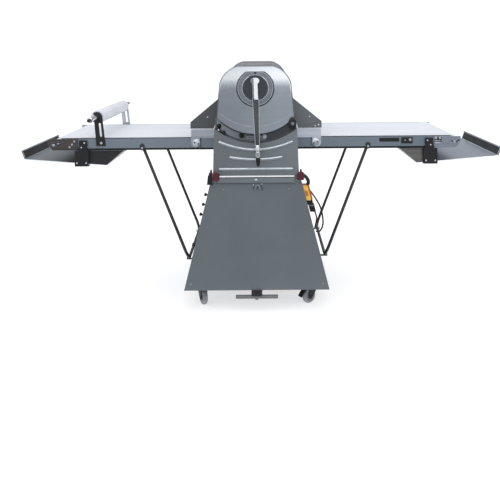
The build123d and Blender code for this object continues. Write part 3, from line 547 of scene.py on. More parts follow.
def screw_head(at, direction, radius, bm=None, cross=True):
    """A domed screw head with a cross recess, standing on a face whose outward direction is given."""
    dome = [(0, 1), (0.18, 1), (0.42, 0.84), (0.56, 0.5), (0.58, 0.34)] + [(0.58, 0.30), (0.30, 0.22)] * cross
    made = lathe([(radius * a, radius * r) for a, r in dome], (0, 0, 0), Z, 20)
    for along in (X, Y) if cross else ():
        half = [radius * 0.09, radius * 0.09]
        half[along] = radius * 0.5
        box((-half[X], -half[Y], radius * 0.50), (half[X], half[Y], radius * 0.585), made)
    return join(bm, turned(made, facing(at, direction)))


def hex_bolt(at, direction, radius, bm=None):
    """A hexagon bolt head on a washer."""
    washer, head = radius * 0.18, radius * 0.85
    made = lathe([(0, radius * 1.25), (washer, radius * 1.25)], (0, 0, 0), Z, 20)
    prism(circle(radius, 6), washer, head, Z, made)
    return join(bm, turned(made, facing(at, direction)))


# ---------------------------------------------------------------- cabinet
PANEL_LOW, PANEL_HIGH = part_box("front_panel")
FLOOR_Z, DECK_Z = PANEL_LOW.z, PANEL_HIGH.z
PANEL_FACE = PANEL_LOW.y
FOOT = PANEL_HIGH.x
TOP = max(v.co.x for v in NODES["front_panel"].data.vertices if v.co.z > DECK_Z - MM)
LEAN = math.atan2(FOOT - TOP, DECK_Z - FLOOR_Z)


def cabinet_half(z):
    """Half the cabinet's width at a height."""
    return FOOT + (TOP - FOOT) * (z - FLOOR_Z) / (DECK_Z - FLOOR_Z)


def cabinet_panels():
    """Front and back doors, the back's louvres and the screws of both."""
    outline = [(-FOOT, FLOOR_Z), (FOOT, FLOOR_Z), (TOP, DECK_Z), (-TOP, DECK_Z)]
    for node, name in (("front_panel", "front_door"), ("rear_panel", "back_door")):
        low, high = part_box(node)
        piece(name, prism(outline, low.y, high.y), "slate_paint", "base", node, 1.2, 3)
    back, half, pitch = high.y, 0.09, 0.022
    louvres = bmesh.new()
    for row in range(7):
        z = FLOOR_Z + 0.10 + row * pitch
        section = [(back, z), (back + 0.006, z - 0.004), (back + 0.006, z - 0.006), (back, z - 0.012)]
        prism(section, -half, half, X, louvres)
    piece("rear_louvres", louvres, "slate_paint", bevel=0.8)
    screws = bmesh.new()
    for face, out in ((PANEL_FACE, FRONT), (back, REAR)):
        for x, z in screw_places():
            screw_head((x, face, z), (0, out, 0), 0.0055, screws)
    piece("panel_screw_heads", screws, "screw_grey", "base", "panel_screws")


def screw_places():
    """Centres of the front panel's screws, read from the CAD screw heads."""
    found = {}
    for v in NODES["panel_screws"].data.vertices:
        if v.co.y < 0:
            found.setdefault((v.co.x > 0, v.co.z > (FLOOR_Z + DECK_Z) / 2), []).append(v.co)
    return [(sum(c.x for c in group) / len(group), sum(c.z for c in group) / len(group))
            for group in found.values()]


def side_knob_pieces():
    """The knobs on the left side panel, at the heights of the CAD knobs."""
    low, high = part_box("side_knobs")
    levels = sorted({round(v.co.z, 3) for v in NODES["side_knobs"].data.vertices})
    groups = [[levels[0]]]
    for level in levels[1:]:
        if level - groups[-1][-1] > 0.02:
            groups.append([])
        groups[-1].append(level)
    knobs = bmesh.new()
    profile = [(0, 0.0045), (0.005, 0.0045), (0.006, 0.008), (0.014, 0.0085), (0.0165, 0.006)]
    for group in groups:
        z = (group[0] + group[-1]) / 2 - 0.002
        place = facing((-cabinet_half(z), (low.y + high.y) / 2, z), (-math.cos(LEAN), 0, math.sin(LEAN)))
        join(knobs, turned(lathe(profile, (0, 0, 0), Z, 24), place))
    piece("side_knob_set", knobs, "black_plastic", "base", "side_knobs", 0.6)


# ---------------------------------------------------------------- ledge
def ledge():
    """The band under the neck with its bright edge, and a dark strip below that as a painted shadow line."""
    low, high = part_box("ledge_strip")
    band = prism([(low.y, low.z), (high.y, low.z), (high.y, high.z - 0.004), (low.y, high.z - 0.004)],
                 low.x, high.x, X)
    piece("ledge_band", band, "neck_paint", "base", "ledge_strip", 1)
    edge_low, edge_high = high.z - 0.0058, high.z - 0.001
    # The bright edge is near-white paint: a painted highlight along the metal edge.
    edge = box((low.x, low.y - 0.001, edge_low), (high.x, high.y, edge_high))
    piece("ledge_edge", edge, "white_metal", bevel=0.8)
    # A dark strip right under the bright edge: painted shadow.
    shadow_strip = box((low.x + 0.002, low.y - 0.0012, edge_low - 0.0034), (high.x - 0.002, low.y + 0.001, edge_low))
    piece("ledge_shadow_line", shadow_strip, "lip_dark", bevel=0.4)
    ledge_blocks()


def ledge_blocks():
    """Dark red blocks at the ledge's ends, their maroon tips, and a black pad beside the left one."""
    low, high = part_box("ledge_end_blocks")
    bottom, top = low.z, high.z
    split_y, pad_y, tip_x = -0.4305, -0.4420, 0.217
    tip = [(tip_x, top - 0.004), (0.232, top - 0.004), (0.229, top + 0.020), (0.222, top + 0.022)]
    blocks, tips = bmesh.new(), bmesh.new()
    for sign, inner, outer in ((-1, 0.182, 0.216), (1, 0.204, 0.240)):
        outline = [(inner + 0.004, bottom), (outer, bottom), (outer, top + 0.004),
                   (outer - 0.010, top + 0.008), (inner + 0.012, top + 0.006), (inner, top - 0.002),
                   (inner, bottom + 0.006)]
        prism(flip(outline, sign), low.y, split_y, Y, blocks)
        box((0.2205, split_y - 0.0001, bottom), (0.238, high.y, top), tips, (sign, 1))
        prism(flip(tip, sign), -0.4395, -0.425, Y, tips)
    pad = [(tip_x, bottom - 0.020), (cabinet_half(DECK_Z) + 0.014, bottom - 0.020), (0.240, top - 0.006),
           (tip_x, top - 0.002)]
    piece("ledge_blocks", blocks, "red_plastic", "base", "ledge_end_blocks", 2.5, 3)
    piece("ledge_tips", tips, "maroon_plastic", bevel=1.5, segments=3)
    piece("ledge_corner_pads", prism(flip(pad, -1), low.y + 0.001, pad_y), "black_plastic",
          bevel=1.5, segments=3)


def latch():
    """The panel's latch, the rivets beside it and the catch springs that hang below the ledge."""
    low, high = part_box("panel_latch")
    x, z = (low.x + high.x) / 2, (low.z + high.z) / 2
    bar_half, bar_thick = 0.009, 0.002
    knob = lathe(rounded(low.y + 0.005, high.y, 0.0065, 0.0015), (x, 0, z), Y, 28)
    box((x - bar_half, low.y, z - bar_thick), (x + bar_half, low.y + 0.006, z + bar_thick), knob)
    piece("latch_knob", knob, "zinc", "panel_latch", "panel_latch", 0.6)
    rivets = bmesh.new()
    for at_x, at_z, radius in ((-0.014, 0.631, 0.0035), (0.008, 0.628, 0.0028), (0.029, 0.6345, 0.0042)):
        screw_head((at_x, PANEL_FACE, at_z), (0, FRONT, 0), radius, rivets, cross=False)
    piece("latch_rivets", rivets, "zinc")
    top_z, near, far = 0.629, PANEL_FACE - 0.0012, PANEL_FACE - 0.0030
    dark = ((-0.010, 0.022, -0.006), (0.006, 0.026, 0.004), (0.026, 0.024, 0.008))
    pale = ((0.000, 0.018, -0.004), (0.016, 0.020, 0.006))
    for tone, springs, material in (("dark", dark, "lip_dark"), ("pale", pale, "plate_steel")):
        bm = bmesh.new()
        for start, drop, lean in springs:
            middle = (start + lean * 0.2, far, top_z - drop * 0.5)
            path = [(start, near, top_z), middle, (start + lean, near, top_z - drop)]
            tube(smooth_path(path, 5), 0.0012, 8, bm)
        piece(f"catch_springs_{tone}", bm, material)


# ---------------------------------------------------------------- head
HEAD_LOW, HEAD_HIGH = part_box("head_front_cover")
HEAD_FACE = HEAD_LOW.y
HEAD_RISE = 0.085
BOTTOM_STEPS = 48
RECESS_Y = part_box("start_button")[0].y + 0.016


def head_outline(inset=0.0):
    """Front outline of the head cover, read from the CAD cover's box, moved in by an inset."""
    low, high = HEAD_LOW, HEAD_HIGH
    side = arc_through((high.x - 0.016, high.z - 0.088), (0.150, high.z - 0.034), (0.088, high.z), 16)
    found = dish(high.x, HEAD_RISE, low.z, BOTTOM_STEPS) + side + flip(side[::-1], -1)
    if not inset:
        return found
    points = [Vector(p) for p in found]
    ways = [(b - a).normalized() for a, b in zip(points, points[1:] + points[:1])]
    return [tuple(p + mitre(a, b, 0.5) * inset) for p, a, b in zip(points, ways[-1:] + ways, ways)]


def arc_through(a, b, c, steps):
    """Points on the circle through three points, from the first to the last."""
    (ax, ay), (bx, by), (cx, cy) = a, b, c
    a2, b2, c2 = (u * u + v * v for u, v in (a, b, c))
    d = 2 * (ax * (by - cy) + bx * (cy - ay) + cx * (ay - by))
    ux = (a2 * (by - cy) + b2 * (cy - ay) + c2 * (ay - by)) / d
    uy = (a2 * (cx - bx) + b2 * (ax - cx) + c2 * (bx - ax)) / d
    start = math.degrees(math.atan2(ay - uy, ax - ux))
    end = math.degrees(math.atan2(cy - uy, cx - ux))
    return arc((ux, uy), math.hypot(ax - ux, ay - uy), start, end, steps)


def outline_loops(bm, rings):
    """Corners of outlines, each at its own depth."""
    return [[bm.verts.new((x, y, z)) for x, z in outline] for outline, y in rings]


def head_cover():
    """The bright front sheet of the head, and the rim that turns back around it in a darker copy of the steel as
    painted shade.
    """
    low, high = HEAD_LOW, HEAD_HIGH
    soft, sheet = 0.007, 0.003
    rings = []
    for step in range(6):
        turn = math.pi / 2 * step / 5
        inset, depth = soft * (1 - math.sin(turn)) + 1e-5, soft * (1 - math.cos(turn))
        rings.append((head_outline(inset), low.y + depth))
    face = bmesh.new()
    front = outline_loops(face, [(head_outline(soft + 0.002), low.y)] + rings[:2])
    back = outline_loops(face, [(head_outline(soft - 0.0005), low.y + sheet)])
    skin(face, front + back)
    caps(face, front[:1] + back)
    piece("head_cover", face, "cover_steel", "base", "head_front_cover")
    rim = bmesh.new()
    inside = [(head_outline(sheet), high.y), (head_outline(sheet), low.y + soft)]
    skin(rim, outline_loops(rim, rings[1:] + [(head_outline(1e-5), high.y)] + inside), closed=True)
    piece("head_rim", rim, "rim_steel")


def head_lines():
    """The pressed line on the cover, a dark tube under its round edge as painted shade in the gap, and the trim at
    the rear.
    """
    pressed = dish(HEAD_HIGH.x, HEAD_RISE, HEAD_LOW.z + 0.040, 40, 0.176)
    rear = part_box("rear_housing")[1].y - 0.004
    split = BOTTOM_STEPS + 1
    around = head_outline()
    for name, line, y, dz, radius, material in (
        ("head_face_line", pressed, HEAD_LOW.y + 0.0002, 0.0, 0.0009, "top_steel"),
        # A black tube in the gap under the cover's round edge: painted shade.
        ("cover_gap_shade", around[3:split - 3], HEAD_LOW.y + 0.004, -0.0012, 0.0019, "lip_dark"),
        ("rear_cover_trim", around[split:], rear, -0.0008, 0.0021, "lip_dark"),
    ):
        piece(name, tube([(x, y, z + dz) for x, z in line], radius, 8), material)


def recess_floor():
    """The pale sheet that lines the crescent recess, darkening towards the right as painted shade under the cover.
    """
    half, wing, deep = 0.196, 0.914, 0.8415
    top = HEAD_LOW.z + 0.10
    outline = dish(half, wing - deep, deep, 40) + [(half, top), (-half, top)]
    piece("recess_floor", prism(outline, RECESS_Y - 0.0012, RECESS_Y - 0.0002), "recess_shaded_steel")


def neck_ribs():
    """Three bright round ribs across the neck, ending in round caps."""
    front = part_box("front_neck_housing")[0].y + 0.0075
    radius, spans = 0.0085, 32
    quarter = [math.radians(a) for a in range(-90, 91, 15)]
    cap = [(radius * math.sin(a), max(0.0003, radius * math.cos(a))) for a in quarter]
    bm = bmesh.new()
    for half, z_end, z_middle in ((0.181, 0.844, 0.806), (0.127, 0.768, 0.757), (0.180, 0.709, 0.709)):
        shares = [2 * step / spans - 1 for step in range(spans + 1)]
        tube([(half * s, front, z_middle + (z_end - z_middle) * s * s) for s in shares], radius, 24, bm)
        for x in (-half, half):
            lathe(cap, (x, front, z_end), Y, 24, bm)
    piece("neck_ribs", bm, "rib_steel")


def top_cover():
    """The bent sheet that bridges the head from front to rear."""
    low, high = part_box("head_top_cover")
    outline = [p for p in head_outline(0.003) if p[1] >= low.z - 1e-4]
    outline.sort(key=lambda p: -math.atan2(p[1] - low.z + 0.02, p[0]))
    line = [(-high.x, low.z)] + outline + [(high.x, low.z)]
    piece("bridge_cover", bent_sheet(line, 0.002, low.y, high.y), "top_steel", "base", "head_top_cover", 0.5)


# ---------------------------------------------------------------- dial and lever
DIAL_LOW, DIAL_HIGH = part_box("dial_plate")
DIAL_RADIUS, DIAL_BORE = 0.094, 0.0655
DIAL_Z = DIAL_LOW.z + DIAL_RADIUS


def dial_loops(section, bm, flat_top=True, closed=True):
    """Turns a section of (radius, y) points about the dial's centre, cut off flat at the top."""
    loops = []
    for radius, y in section:
        top = DIAL_HIGH.z - DIAL_Z - (DIAL_RADIUS - radius) * 0.9 if flat_top else DIAL_RADIUS
        loops.append([bm.verts.new((x, y, DIAL_Z + min(z, top))) for z, x in circle(radius, 96)])
    skin(bm, loops, closed)
    return bm


def dial():
    """The flat-topped ring around the lever's disc, with its rims, marks, bead and pointer."""
    face, back = DIAL_LOW.y, DIAL_HIGH.y
    outer, inner = DIAL_RADIUS, DIAL_BORE
    plate = [(inner, back), (inner, face + 0.001), (inner + 0.001, face), (outer - 0.0045, face),
             (outer - 0.0040, face), (outer - 0.001, face + 0.0008), (outer, face + 0.002), (outer, back)]
    piece("dial_ring", dial_loops(plate, bmesh.new(), closed=False), "ring_steel", "base", "dial_plate")
    rims = bmesh.new()
    for near, far, flat_top in ((inner, inner + 0.0022, False), (outer - 0.0075, outer - 0.0055, True)):
        low, high = face + 0.0005, face - 0.0012
        dial_loops([(near, low), (near, high), (far, high), (far, low)], rims, flat_top)
    piece("dial_rims", rims, "plate_steel", bevel=0.2)
    # A dark band round the ring's outer edge: painted shadow.
    edge = [(outer - 0.0040, face + 0.0005), (outer - 0.0040, face - 0.0014), (outer + 0.0004, face - 0.0006),
            (outer + 0.0004, back)]
    piece("dial_edge_shadow", dial_loops(edge, bmesh.new()), "dial_dark")
    dial_marks(face)
    bead = [(x, HEAD_FACE - 0.0003, z) for x, z in arc((0, DIAL_Z), outer + 0.0022, 28, -208, 60)]
    piece("dial_bead", tube(bead, 0.0014, 8), "bright_steel")
    top = DIAL_HIGH.z - 0.004
    arrow = prism([(-0.007, top), (0.007, top), (0, top - 0.013)], face - 0.0012, face + 0.001)
    piece("dial_pointer", arrow, "black_plastic", bevel=0.3)


def dial_marks(face):
    """Plain strokes around the dial, every fourth one long."""
    count, sweep = 24, 300
    start, short, long = 0.070, 0.0745, 0.078
    marks = bmesh.new()
    for step in range(count + 1):
        turn = math.radians(sweep * (step / count - 0.5))
        end = long if step % 4 == 0 else short
        bar = box((-0.0006, face - 0.0004, start), (0.0006, face + 0.001, end))
        join(marks, turned(bar, Matrix.Translation((0, 0, DIAL_Z)) @ Matrix.Rotation(turn, 4, "Y")))
    piece("dial_marks", marks, "plate_steel")


LEVER_LEAN = math.radians(1.8)
LEVER_TURN = (Matrix.Translation((0, 0, DIAL_Z)) @ Matrix.Rotation(-LEVER_LEAN, 4, "Y")
              @ Matrix.Translation((0, 0, -DIAL_Z)))
ARM_TOP, ARM_END = DIAL_Z - 0.050, DIAL_Z - 0.286


def lever_piece(name, bm, material, *rest):
    """A piece of the lever, built up hanging straight down and leant to its place."""
    return piece(name, turned(bm, LEVER_TURN), material, "lever", *rest)


def arm_line(share):
    """Depth and height of the arm's middle, which steps forward on its way down."""
    start, step = 0.0165, 0.0085
    eased = share * share * (3 - 2 * share)
    return HEAD_FACE - start - step * eased, ARM_TOP + (ARM_END - ARM_TOP) * share


def lever():
    """The lever's disc, its head in a bright right half and a grey left half painted as shade, its arm and its
    grip.
    """
    face, centre = HEAD_FACE, DIAL_Z
    disc = [(0.0012, 0.050), (0.0012, 0.0632), (0.0085, 0.0638), (0.0100, 0.0625), (0.0100, 0.052),
            (0.0085, 0.0505), (0.0085, 0.001)]
    disc = lathe([(face - depth, radius) for depth, radius in disc], (0, 0, centre), Y, 72)
    lever_piece("lever_disc", disc, "dial_dark", "thickness_lever")
    # The head's right half is the bright part; its left half is a grey copy of it, painted shade.
    bright = [(-0.0075, -0.058), (0.0120, -0.058), (0.0120, 0.022), (0.018, 0.026), (0.0215, 0.034),
              (0.0205, 0.043), (0.013, 0.050), (-0.0075, 0.052)]
    shaded_half = [(-max(x, 0.0) * (1.10 if z > 0.024 else 1.35), z) for x, z in bright]
    for name, half, front, material in (("lever_head", bright, 0.024, "lever_bright"),
                                        ("lever_head_shade", shaded_half, 0.0228, "top_steel")):
        block = prism([(x, centre + z) for x, z in half], face - front, face - 0.008)
        lever_piece(name, block, material, (), 2.2, 4)
    lever_arm()
    lever_grip(face - 0.0249)


def lever_arm():
    """A tapering arm of rounded section, with a bright line along each edge as a painted highlight."""
    arm = bmesh.new()
    spans = 14
    sections = []
    for share in (step / spans for step in range(spans + 1)):
        half_x, half_y = 0.0165 - 0.0060 * share, 0.0075 - 0.0015 * share
        y, z = arm_line(share)
        squarish = [[math.copysign(abs(c) ** 0.7, c) for c in point] for point in circle(1, 28)]
        sections.append([arm.verts.new((half_x * a, y + half_y * b, z)) for a, b in squarish])
    skin(arm, sections)
    lever_piece("lever_arm", caps(arm, sections), "lever_steel")
    # Bright steel lines along both edges of the dark arm: painted highlights.
    edges = bmesh.new()
    for side in (-1, 1):
        line = []
        for share in (step / 10 for step in range(11)):
            y, z = arm_line(share)
            line.append((side * (0.0155 - 0.0058 * share), y - 0.003, z))
        tube(line, 0.0019, 10, edges)
    lever_piece("lever_arm_highlights", edges, "plate_steel")


def lever_grip(y):
    """The chrome collar and the black grip at the lever's end."""
    low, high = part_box("lever_grip")
    end, top = high.z + 0.002, ARM_END + 0.004
    length = top - end
    waist = [(0.42, 0.0118), (0.46, 0.0092), (0.52, 0.0092), (0.56, 0.0116)]
    collar = [(end, 0.0100), (end + 0.003, 0.0122)] + [(end + length * share, r) for share, r in waist]
    collar += [(top - 0.008, 0.0110), (top, 0.0085)]
    lever_piece("lever_collar", lathe(collar, (0, y, 0), Z, 32), "bright_steel")
    height = high.z - low.z
    grip = [(0, 0.0025), (0.002 / height, 0.0062), (0.25, 0.0088), (0.6, 0.0112), (0.93, 0.0114), (1, 0.0098)]
    grip = [(low.z + height * share, radius) for share, radius in grip]
    knob = lever_piece("lever_knob", lathe(grip, (0, y, 0), Z, 32), "black_plastic", "lever_grip")
    knob.modifiers.new("round", "SUBSURF").render_levels = 1


# ---------------------------------------------------------------- controls in the recess
def buttons():
    """Domed caps that press in, each in a fixed collar; radii are shares of the button's own."""
    for name, radius, collar_material in (("start", 0.008, "black_plastic"), ("stop", 0.012, "dial_grey")):
        node = f"{name}_button"
        low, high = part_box(node)
        centre = ((low.x + high.x) / 2, 0, (low.z + high.z) / 2)
        face, wall = low.y, low.y + 0.016
        cap = [(face, 0.55), (face + 0.0008, 0.82), (face + 0.0025, 0.97), (face + 0.011, 1),
               (face + 0.011, 0.5), (high.y, 0.5)]
        collar = [(wall - 0.002, 1.08), (wall - 0.002, 1.45), (wall + 0.0005, 1.5)]
        cap, collar = (lathe([(y, radius * r) for y, r in line], centre, Y, 32) for line in (cap, collar))
        piece(f"{node}_cap", cap, "black_plastic", node, node)
        piece(f"{node}_collar", collar, collar_material)


def recess_fittings():
    """The switches beside the start button and the folded plate in the middle of the recess."""
    wall = RECESS_Y
    lamp_radius, bolt_radius, screw_radius = 0.0046, 0.009, 0.0035
    low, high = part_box("start_button")
    x, z = (low.x + high.x) / 2, (low.z + high.z) / 2
    cluster = box((x - 0.022, wall - 0.034, z - 0.040), (x + 0.006, wall - 0.006, z - 0.011))
    box((x - 0.006, wall - 0.030, z - 0.052), (x + 0.032, wall - 0.010, z - 0.024), cluster)
    piece("switch_cluster", cluster, "black_plastic", bevel=2.5, segments=3)
    lamps = bmesh.new()
    for dx, dz in ((-0.001, -0.018), (-0.013, -0.027)):
        screw_head((x + dx, wall - 0.034, z + dz), (0, FRONT, 0), lamp_radius, lamps, cross=False)
    piece("switch_lamps", lamps, "bright_steel")
    plate_low, plate_high = (-0.050, wall - 0.006, 0.846), (0.048, wall - 0.001, 0.873)
    piece("recess_plate", box(plate_low, plate_high), "top_steel", bevel=1.5, segments=3)
    grooves = bmesh.new()
    for fold_z in (0.8525, 0.8615, 0.8725):
        box((-0.049, wall - 0.0068, fold_z), (0.047, wall - 0.0056, fold_z + 0.0022), grooves)
    piece("recess_plate_folds", grooves, "dial_dark", bevel=0.3)
    fixings = hex_bolt((0.044, wall - 0.001, 0.866), (0, FRONT, 0), bolt_radius)
    for screw_x in (-0.044, 0.020):
        screw_head((screw_x, wall - 0.006, 0.864), (0, FRONT, 0), screw_radius, fixings)
    piece("recess_fixings", fixings, "zinc", bevel=0.3)


def joystick():
    """An oval knob on a bent stick, with a disc on its face and a boot at its foot."""
    low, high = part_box("joystick")
    face, half_x, half_z = low.y, 0.020, 0.033
    x, z = (low.x + high.x) / 2, high.z - half_z
    bm = bmesh.new()
    dome = ((0.0, 0.55), (0.0012, 0.72), (0.0035, 0.90), (0.0065, 1.0), (0.009, 0.97), (0.011, 0.80))
    rings = [([(x + half_x * share * a, z + half_z * share * b) for a, b in circle(1, 40)], face + depth)
             for depth, share in dome]
    loops = outline_loops(bm, rings)
    skin(bm, loops)
    caps(bm, loops)
    foot, foot_x, foot_z = high.y, x + 0.003, z - 0.022
    path = [(x, face + 0.010, z - 0.004), (x + 0.001, face + 0.03, z - 0.012), (foot_x, foot - 0.001, foot_z)]
    tube(smooth_path(path, 6), 0.005, 14, bm)
    piece("joystick_knob", bm, "black_plastic", "joystick", "joystick")
    disc = [(face - 0.0012, 0.004), (face - 0.0006, 0.0085), (face + 0.001, 0.0095)]
    piece("joystick_disc", lathe(disc, (x + 0.001, 0, z), Y, 28), "dial_grey", "joystick")
    boot = [(foot - 0.012, 0.007), (foot - 0.010, 0.011), (foot - 0.004, 0.014), (foot + 0.002, 0.015)]
    piece("joystick_boot", lathe(boot, (foot_x, 0, foot_z), Y, 28), "cable_black")


# ---------------------------------------------------------------- belts
def belts():
    """Each belt is one closed cloth around its table's and the base's rollers."""
    thick, across, spans, bends, sag, curl = 0.0025, 25, 96, 16, 0.0022, 0.0004
    for side, sign in SIDES:
        rollers = (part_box(f"{side}_{name}_roller") for name in ("drive", "end"))
        inner, outer = (abs(corner.x + other.x) / 2 for corner, other in rollers)
        low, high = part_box(f"{side}_table_belt")
        radius, axis_z, half = (high.z - low.z) / 2, (high.z + low.z) / 2, high.y
        path = [(inner + (outer - inner) * s / spans, 0.0, 0.0) for s in range(spans)]
        path += [(outer, 180 * s / bends, 0.0) for s in range(bends)]
        path += [(outer + (inner - outer) * s / spans, 180.0, sag * math.sin(math.pi * (1 - s / spans)) ** 2)
                 for s in range(spans)]
        path += [(inner, 180 + 180 * s / bends, 0.0) for s in range(bends)]
        bm = bmesh.new()
        rows = []
        for x, degrees, drop in path:
            turn = math.radians(degrees)
            layers = ([], [])
            for k in range(across + 1):
                y = -half + 2 * half * k / across
                for r, row in zip((radius - curl * (abs(y) / half) ** 8, radius - thick), layers):
                    at = (sign * (x + r * math.sin(turn)), y, axis_z + r * math.cos(turn) - drop)
                    row.append(bm.verts.new(at))
            rows.append(layers)
        for (top, under), (next_top, next_under) in zip(rows, rows[1:] + rows[:1]):
            for row, other in ((top, next_top), (under, next_under)):
                for k in range(across):
                    bm.faces.new((row[k], row[k + 1], other[k + 1], other[k]))
            for k in (0, across):
                bm.faces.new((top[k], next_top[k], next_under[k], under[k]))
        belt = piece(f"{side}_belt", bm, "belt_white", None, (f"{side}_table_belt", "inner_belts"))
        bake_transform(belt)


# ---------------------------------------------------------------- tables
HINGE_X, HINGE_Z = (JOINTS["right_table_fold"]["pos_m"][k] for k in (X, Z))
RAIL_Y = 0.309
RAIL_LOW, RAIL_HIGH = 0.792, 0.850
RAIL_TIP = 1.0
REAR_DROP = 0.0034
RAIL_SHEET = 0.003
ROD_EYE = 0.012
PLATE_Y = 0.313
PLATE_INNER = 0.928


def tables():
    """Everything that folds up with a table, apart from its belt and tray."""
    for side, sign in SIDES:
        body = f"{side}_table"
        rails(side, sign, body)
        end_plates(side, sign, body)
        rod_mounts(side, sign, body)


def rails(side, sign, body):
    """The rails with their folded edges, the slider bed with its cross pieces, and the edge strips."""
    outline = [(HINGE_X + 0.030, RAIL_LOW), (RAIL_TIP, RAIL_LOW), (RAIL_TIP, RAIL_HIGH),
               (HINGE_X + 0.010, RAIL_HIGH)] + arc((HINGE_X, HINGE_Z), 0.024, 75, 262, 18)
    strip_low = (HINGE_X - 0.003, RAIL_Y - 0.004, RAIL_LOW - 0.0020)
    strip_high = (0.9285, RAIL_Y + 0.0002, RAIL_LOW + 0.0085)
    sheets, strips = bmesh.new(), bmesh.new()
    for end in ENDS:
        crest = RAIL_HIGH if end == FRONT else RAIL_HIGH - REAR_DROP
        web = [(sign * x, min(z, crest)) for x, z in outline]
        prism(web, end * RAIL_Y, end * (RAIL_Y - RAIL_SHEET), Y, sheets)
        for z in (RAIL_LOW, RAIL_HIGH - 0.005):
            fold_high = (RAIL_TIP, RAIL_Y - 0.0028, z + RAIL_SHEET)
            box((HINGE_X + 0.04, RAIL_Y - 0.016, z), fold_high, sheets, (sign, end))
        box(strip_low, strip_high, strips, (sign, end))
    piece(f"{side}_rails", sheets, "rail_steel", body, f"{side}_table_frame", 0.8)
    piece(f"{side}_edge_strips", strips, "black_plastic", body, bevel=0.8)
    bed = bmesh.new()
    bar_half, bar_y, bar_low, bed_y, bed_low, bed_high = 0.015, 0.3055, 0.803, 0.297, 0.8405, 0.8440
    for x in (0.400, 0.700, 0.930):
        box((x - bar_half, -bar_y, bar_low), (x + bar_half, bar_y, bed_low), bed, (sign, 1))
    box((HINGE_X + 0.042, -bed_y, bed_low), (RAIL_TIP - 0.006, bed_y, bed_high), bed, (sign, 1))
    piece(f"{side}_bed", bed, "frame_steel", body, bevel=1)


def rod_mounts(side, sign, body):
    """Pins and lugs on which the support rod hangs."""
    low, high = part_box(f"{side}_support_rod")
    x, z = max(abs(low.x), abs(high.x)) - ROD_EYE, high.z - ROD_EYE
    shape = slot_outline((x, z), (x, z + 0.010), 0.013, 180, 12)
    pins, lugs = bmesh.new(), bmesh.new()
    for end in ENDS:
        lathe(rounded(*sorted((end * 0.315, end * 0.273)), 0.005, 0.0008), (sign * x, 0, z), Y, 20, pins)
        prism(flip(shape, sign), end * (RAIL_Y + 0.003), end * (RAIL_Y - 0.001), Y, lugs)
    piece(f"{side}_rod_pins", pins, "zinc", body)
    piece(f"{side}_rod_lugs", lugs, "rod_dark", body, bevel=0.8)


def end_plates(side, sign, body):
    """Plates that hold the end roller, with its tension slot, bolts and adjusters."""
    left = side == "left"
    tip = max(abs(p.x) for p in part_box(f"{side}_table_frame"))
    low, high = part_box(f"{side}_end_roller")
    x, z = abs(low.x + high.x) / 2, (low.z + high.z) / 2
    slot = slot_outline((x + 0.008, z), (x - 0.016, z), 0.0061, -90)
    for end, name, crest, material in (
        (FRONT, "front", RAIL_HIGH, "plate_brown" if left else "tray_light"),
        (REAR, "rear", RAIL_HIGH - REAR_DROP, "tray_light"),
    ):
        outline = [(PLATE_INNER, RAIL_LOW), (tip - 0.026, RAIL_LOW), (tip, RAIL_LOW + 0.030), (tip, crest),
                   (PLATE_INNER, crest)]
        plate = plate_with_hole(flip(outline, sign), flip(slot, sign), (end * PLATE_Y, end * 0.3088))
        piece(f"{side}_end_plate_{name}", plate, material, body, bevel=0.8)
    spots = [(1.054, z - 0.004, 0.0055 if left else 0.0045)]
    if left:
        spots += [(0.946, z + 0.014, 0.004), (0.958, z - 0.002, 0.004), (0.970, z - 0.016, 0.004)]
    mark_x, mark_z = (1.036, z) if left else (1.050, z + 0.004)
    mark = [(mark_x + dx, mark_z + dz)
            for dx, dz in ((-0.012, -0.008), (-0.004, -0.010), (0.012, 0.001), (0.006, 0.006))]
    bolts, adjusters = bmesh.new(), bmesh.new()
    for end in ENDS:
        for bolt_x, bolt_z, radius in spots:
            hex_bolt((sign * bolt_x, end * PLATE_Y, bolt_z), (0, end, 0), radius, bolts)
        prism(flip(mark, sign), end * 0.3128, end * 0.3150, Y, adjusters)
    piece(f"{side}_end_bolts", bolts, "zinc", body, bevel=0.3)
    piece(f"{side}_roller_adjusters", adjusters, "lip_dark", body, bevel=1, segments=3)


def plate_with_hole(outline, hole, depths):
    """A flat plate between two depths with one hole through it."""
    bm = bmesh.new()
    loops = []
    for y in sorted(depths):
        rings = outline_loops(bm, [(outline, y), (hole, y)])
        edges = [bm.edges.new((ring[i - 1], ring[i])) for ring in rings for i in range(len(ring))]
        bmesh.ops.triangle_fill(bm, edges=edges, use_beauty=True)
        loops.append(rings)
    for near, far in zip(*loops):
        skin(bm, [near, far])
    return bm


def right_latch():
    """Catches on the right rail: a dark slot, a black block with a bolt and a pin, and one at the end."""
    body, face = "right_table", -RAIL_Y
    slot = box((0.642, face - 0.0006, 0.823), (0.746, face + 0.001, 0.843))
    piece("latch_slot", slot, "black_paint", body, bevel=0.3)
    front = face - 0.006
    piece("latch_block", box((0.757, front, 0.814), (0.815, face + 0.0005, 0.846)), "black_paint", body,
          bevel=1.5, segments=3)
    bolts = hex_bolt((0.802, front, 0.833), (0, FRONT, 0), 0.0055)
    screw_head((0.776, front, 0.831), (0, FRONT, 0), 0.003, bolts)
    piece("latch_bolts", bolts, "zinc", body, bevel=0.3)
    foot, top = -0.3131, -0.3146
    piece("end_catch", box((0.931, top, 0.822), (0.966, foot, 0.848)), "black_paint", body, bevel=0.6)
    fixings = box((0.931, top - 0.0014, 0.826), (0.960, top, 0.8295))
    box((0.930, top - 0.0014, 0.813), (0.960, foot, 0.819), fixings)
    for x in (0.937, 0.957):
        hex_bolt((x, top, 0.841), (0, FRONT, 0), 0.0052, fixings)
    piece("end_catch_fixings", fixings, "zinc", body, bevel=0.3)


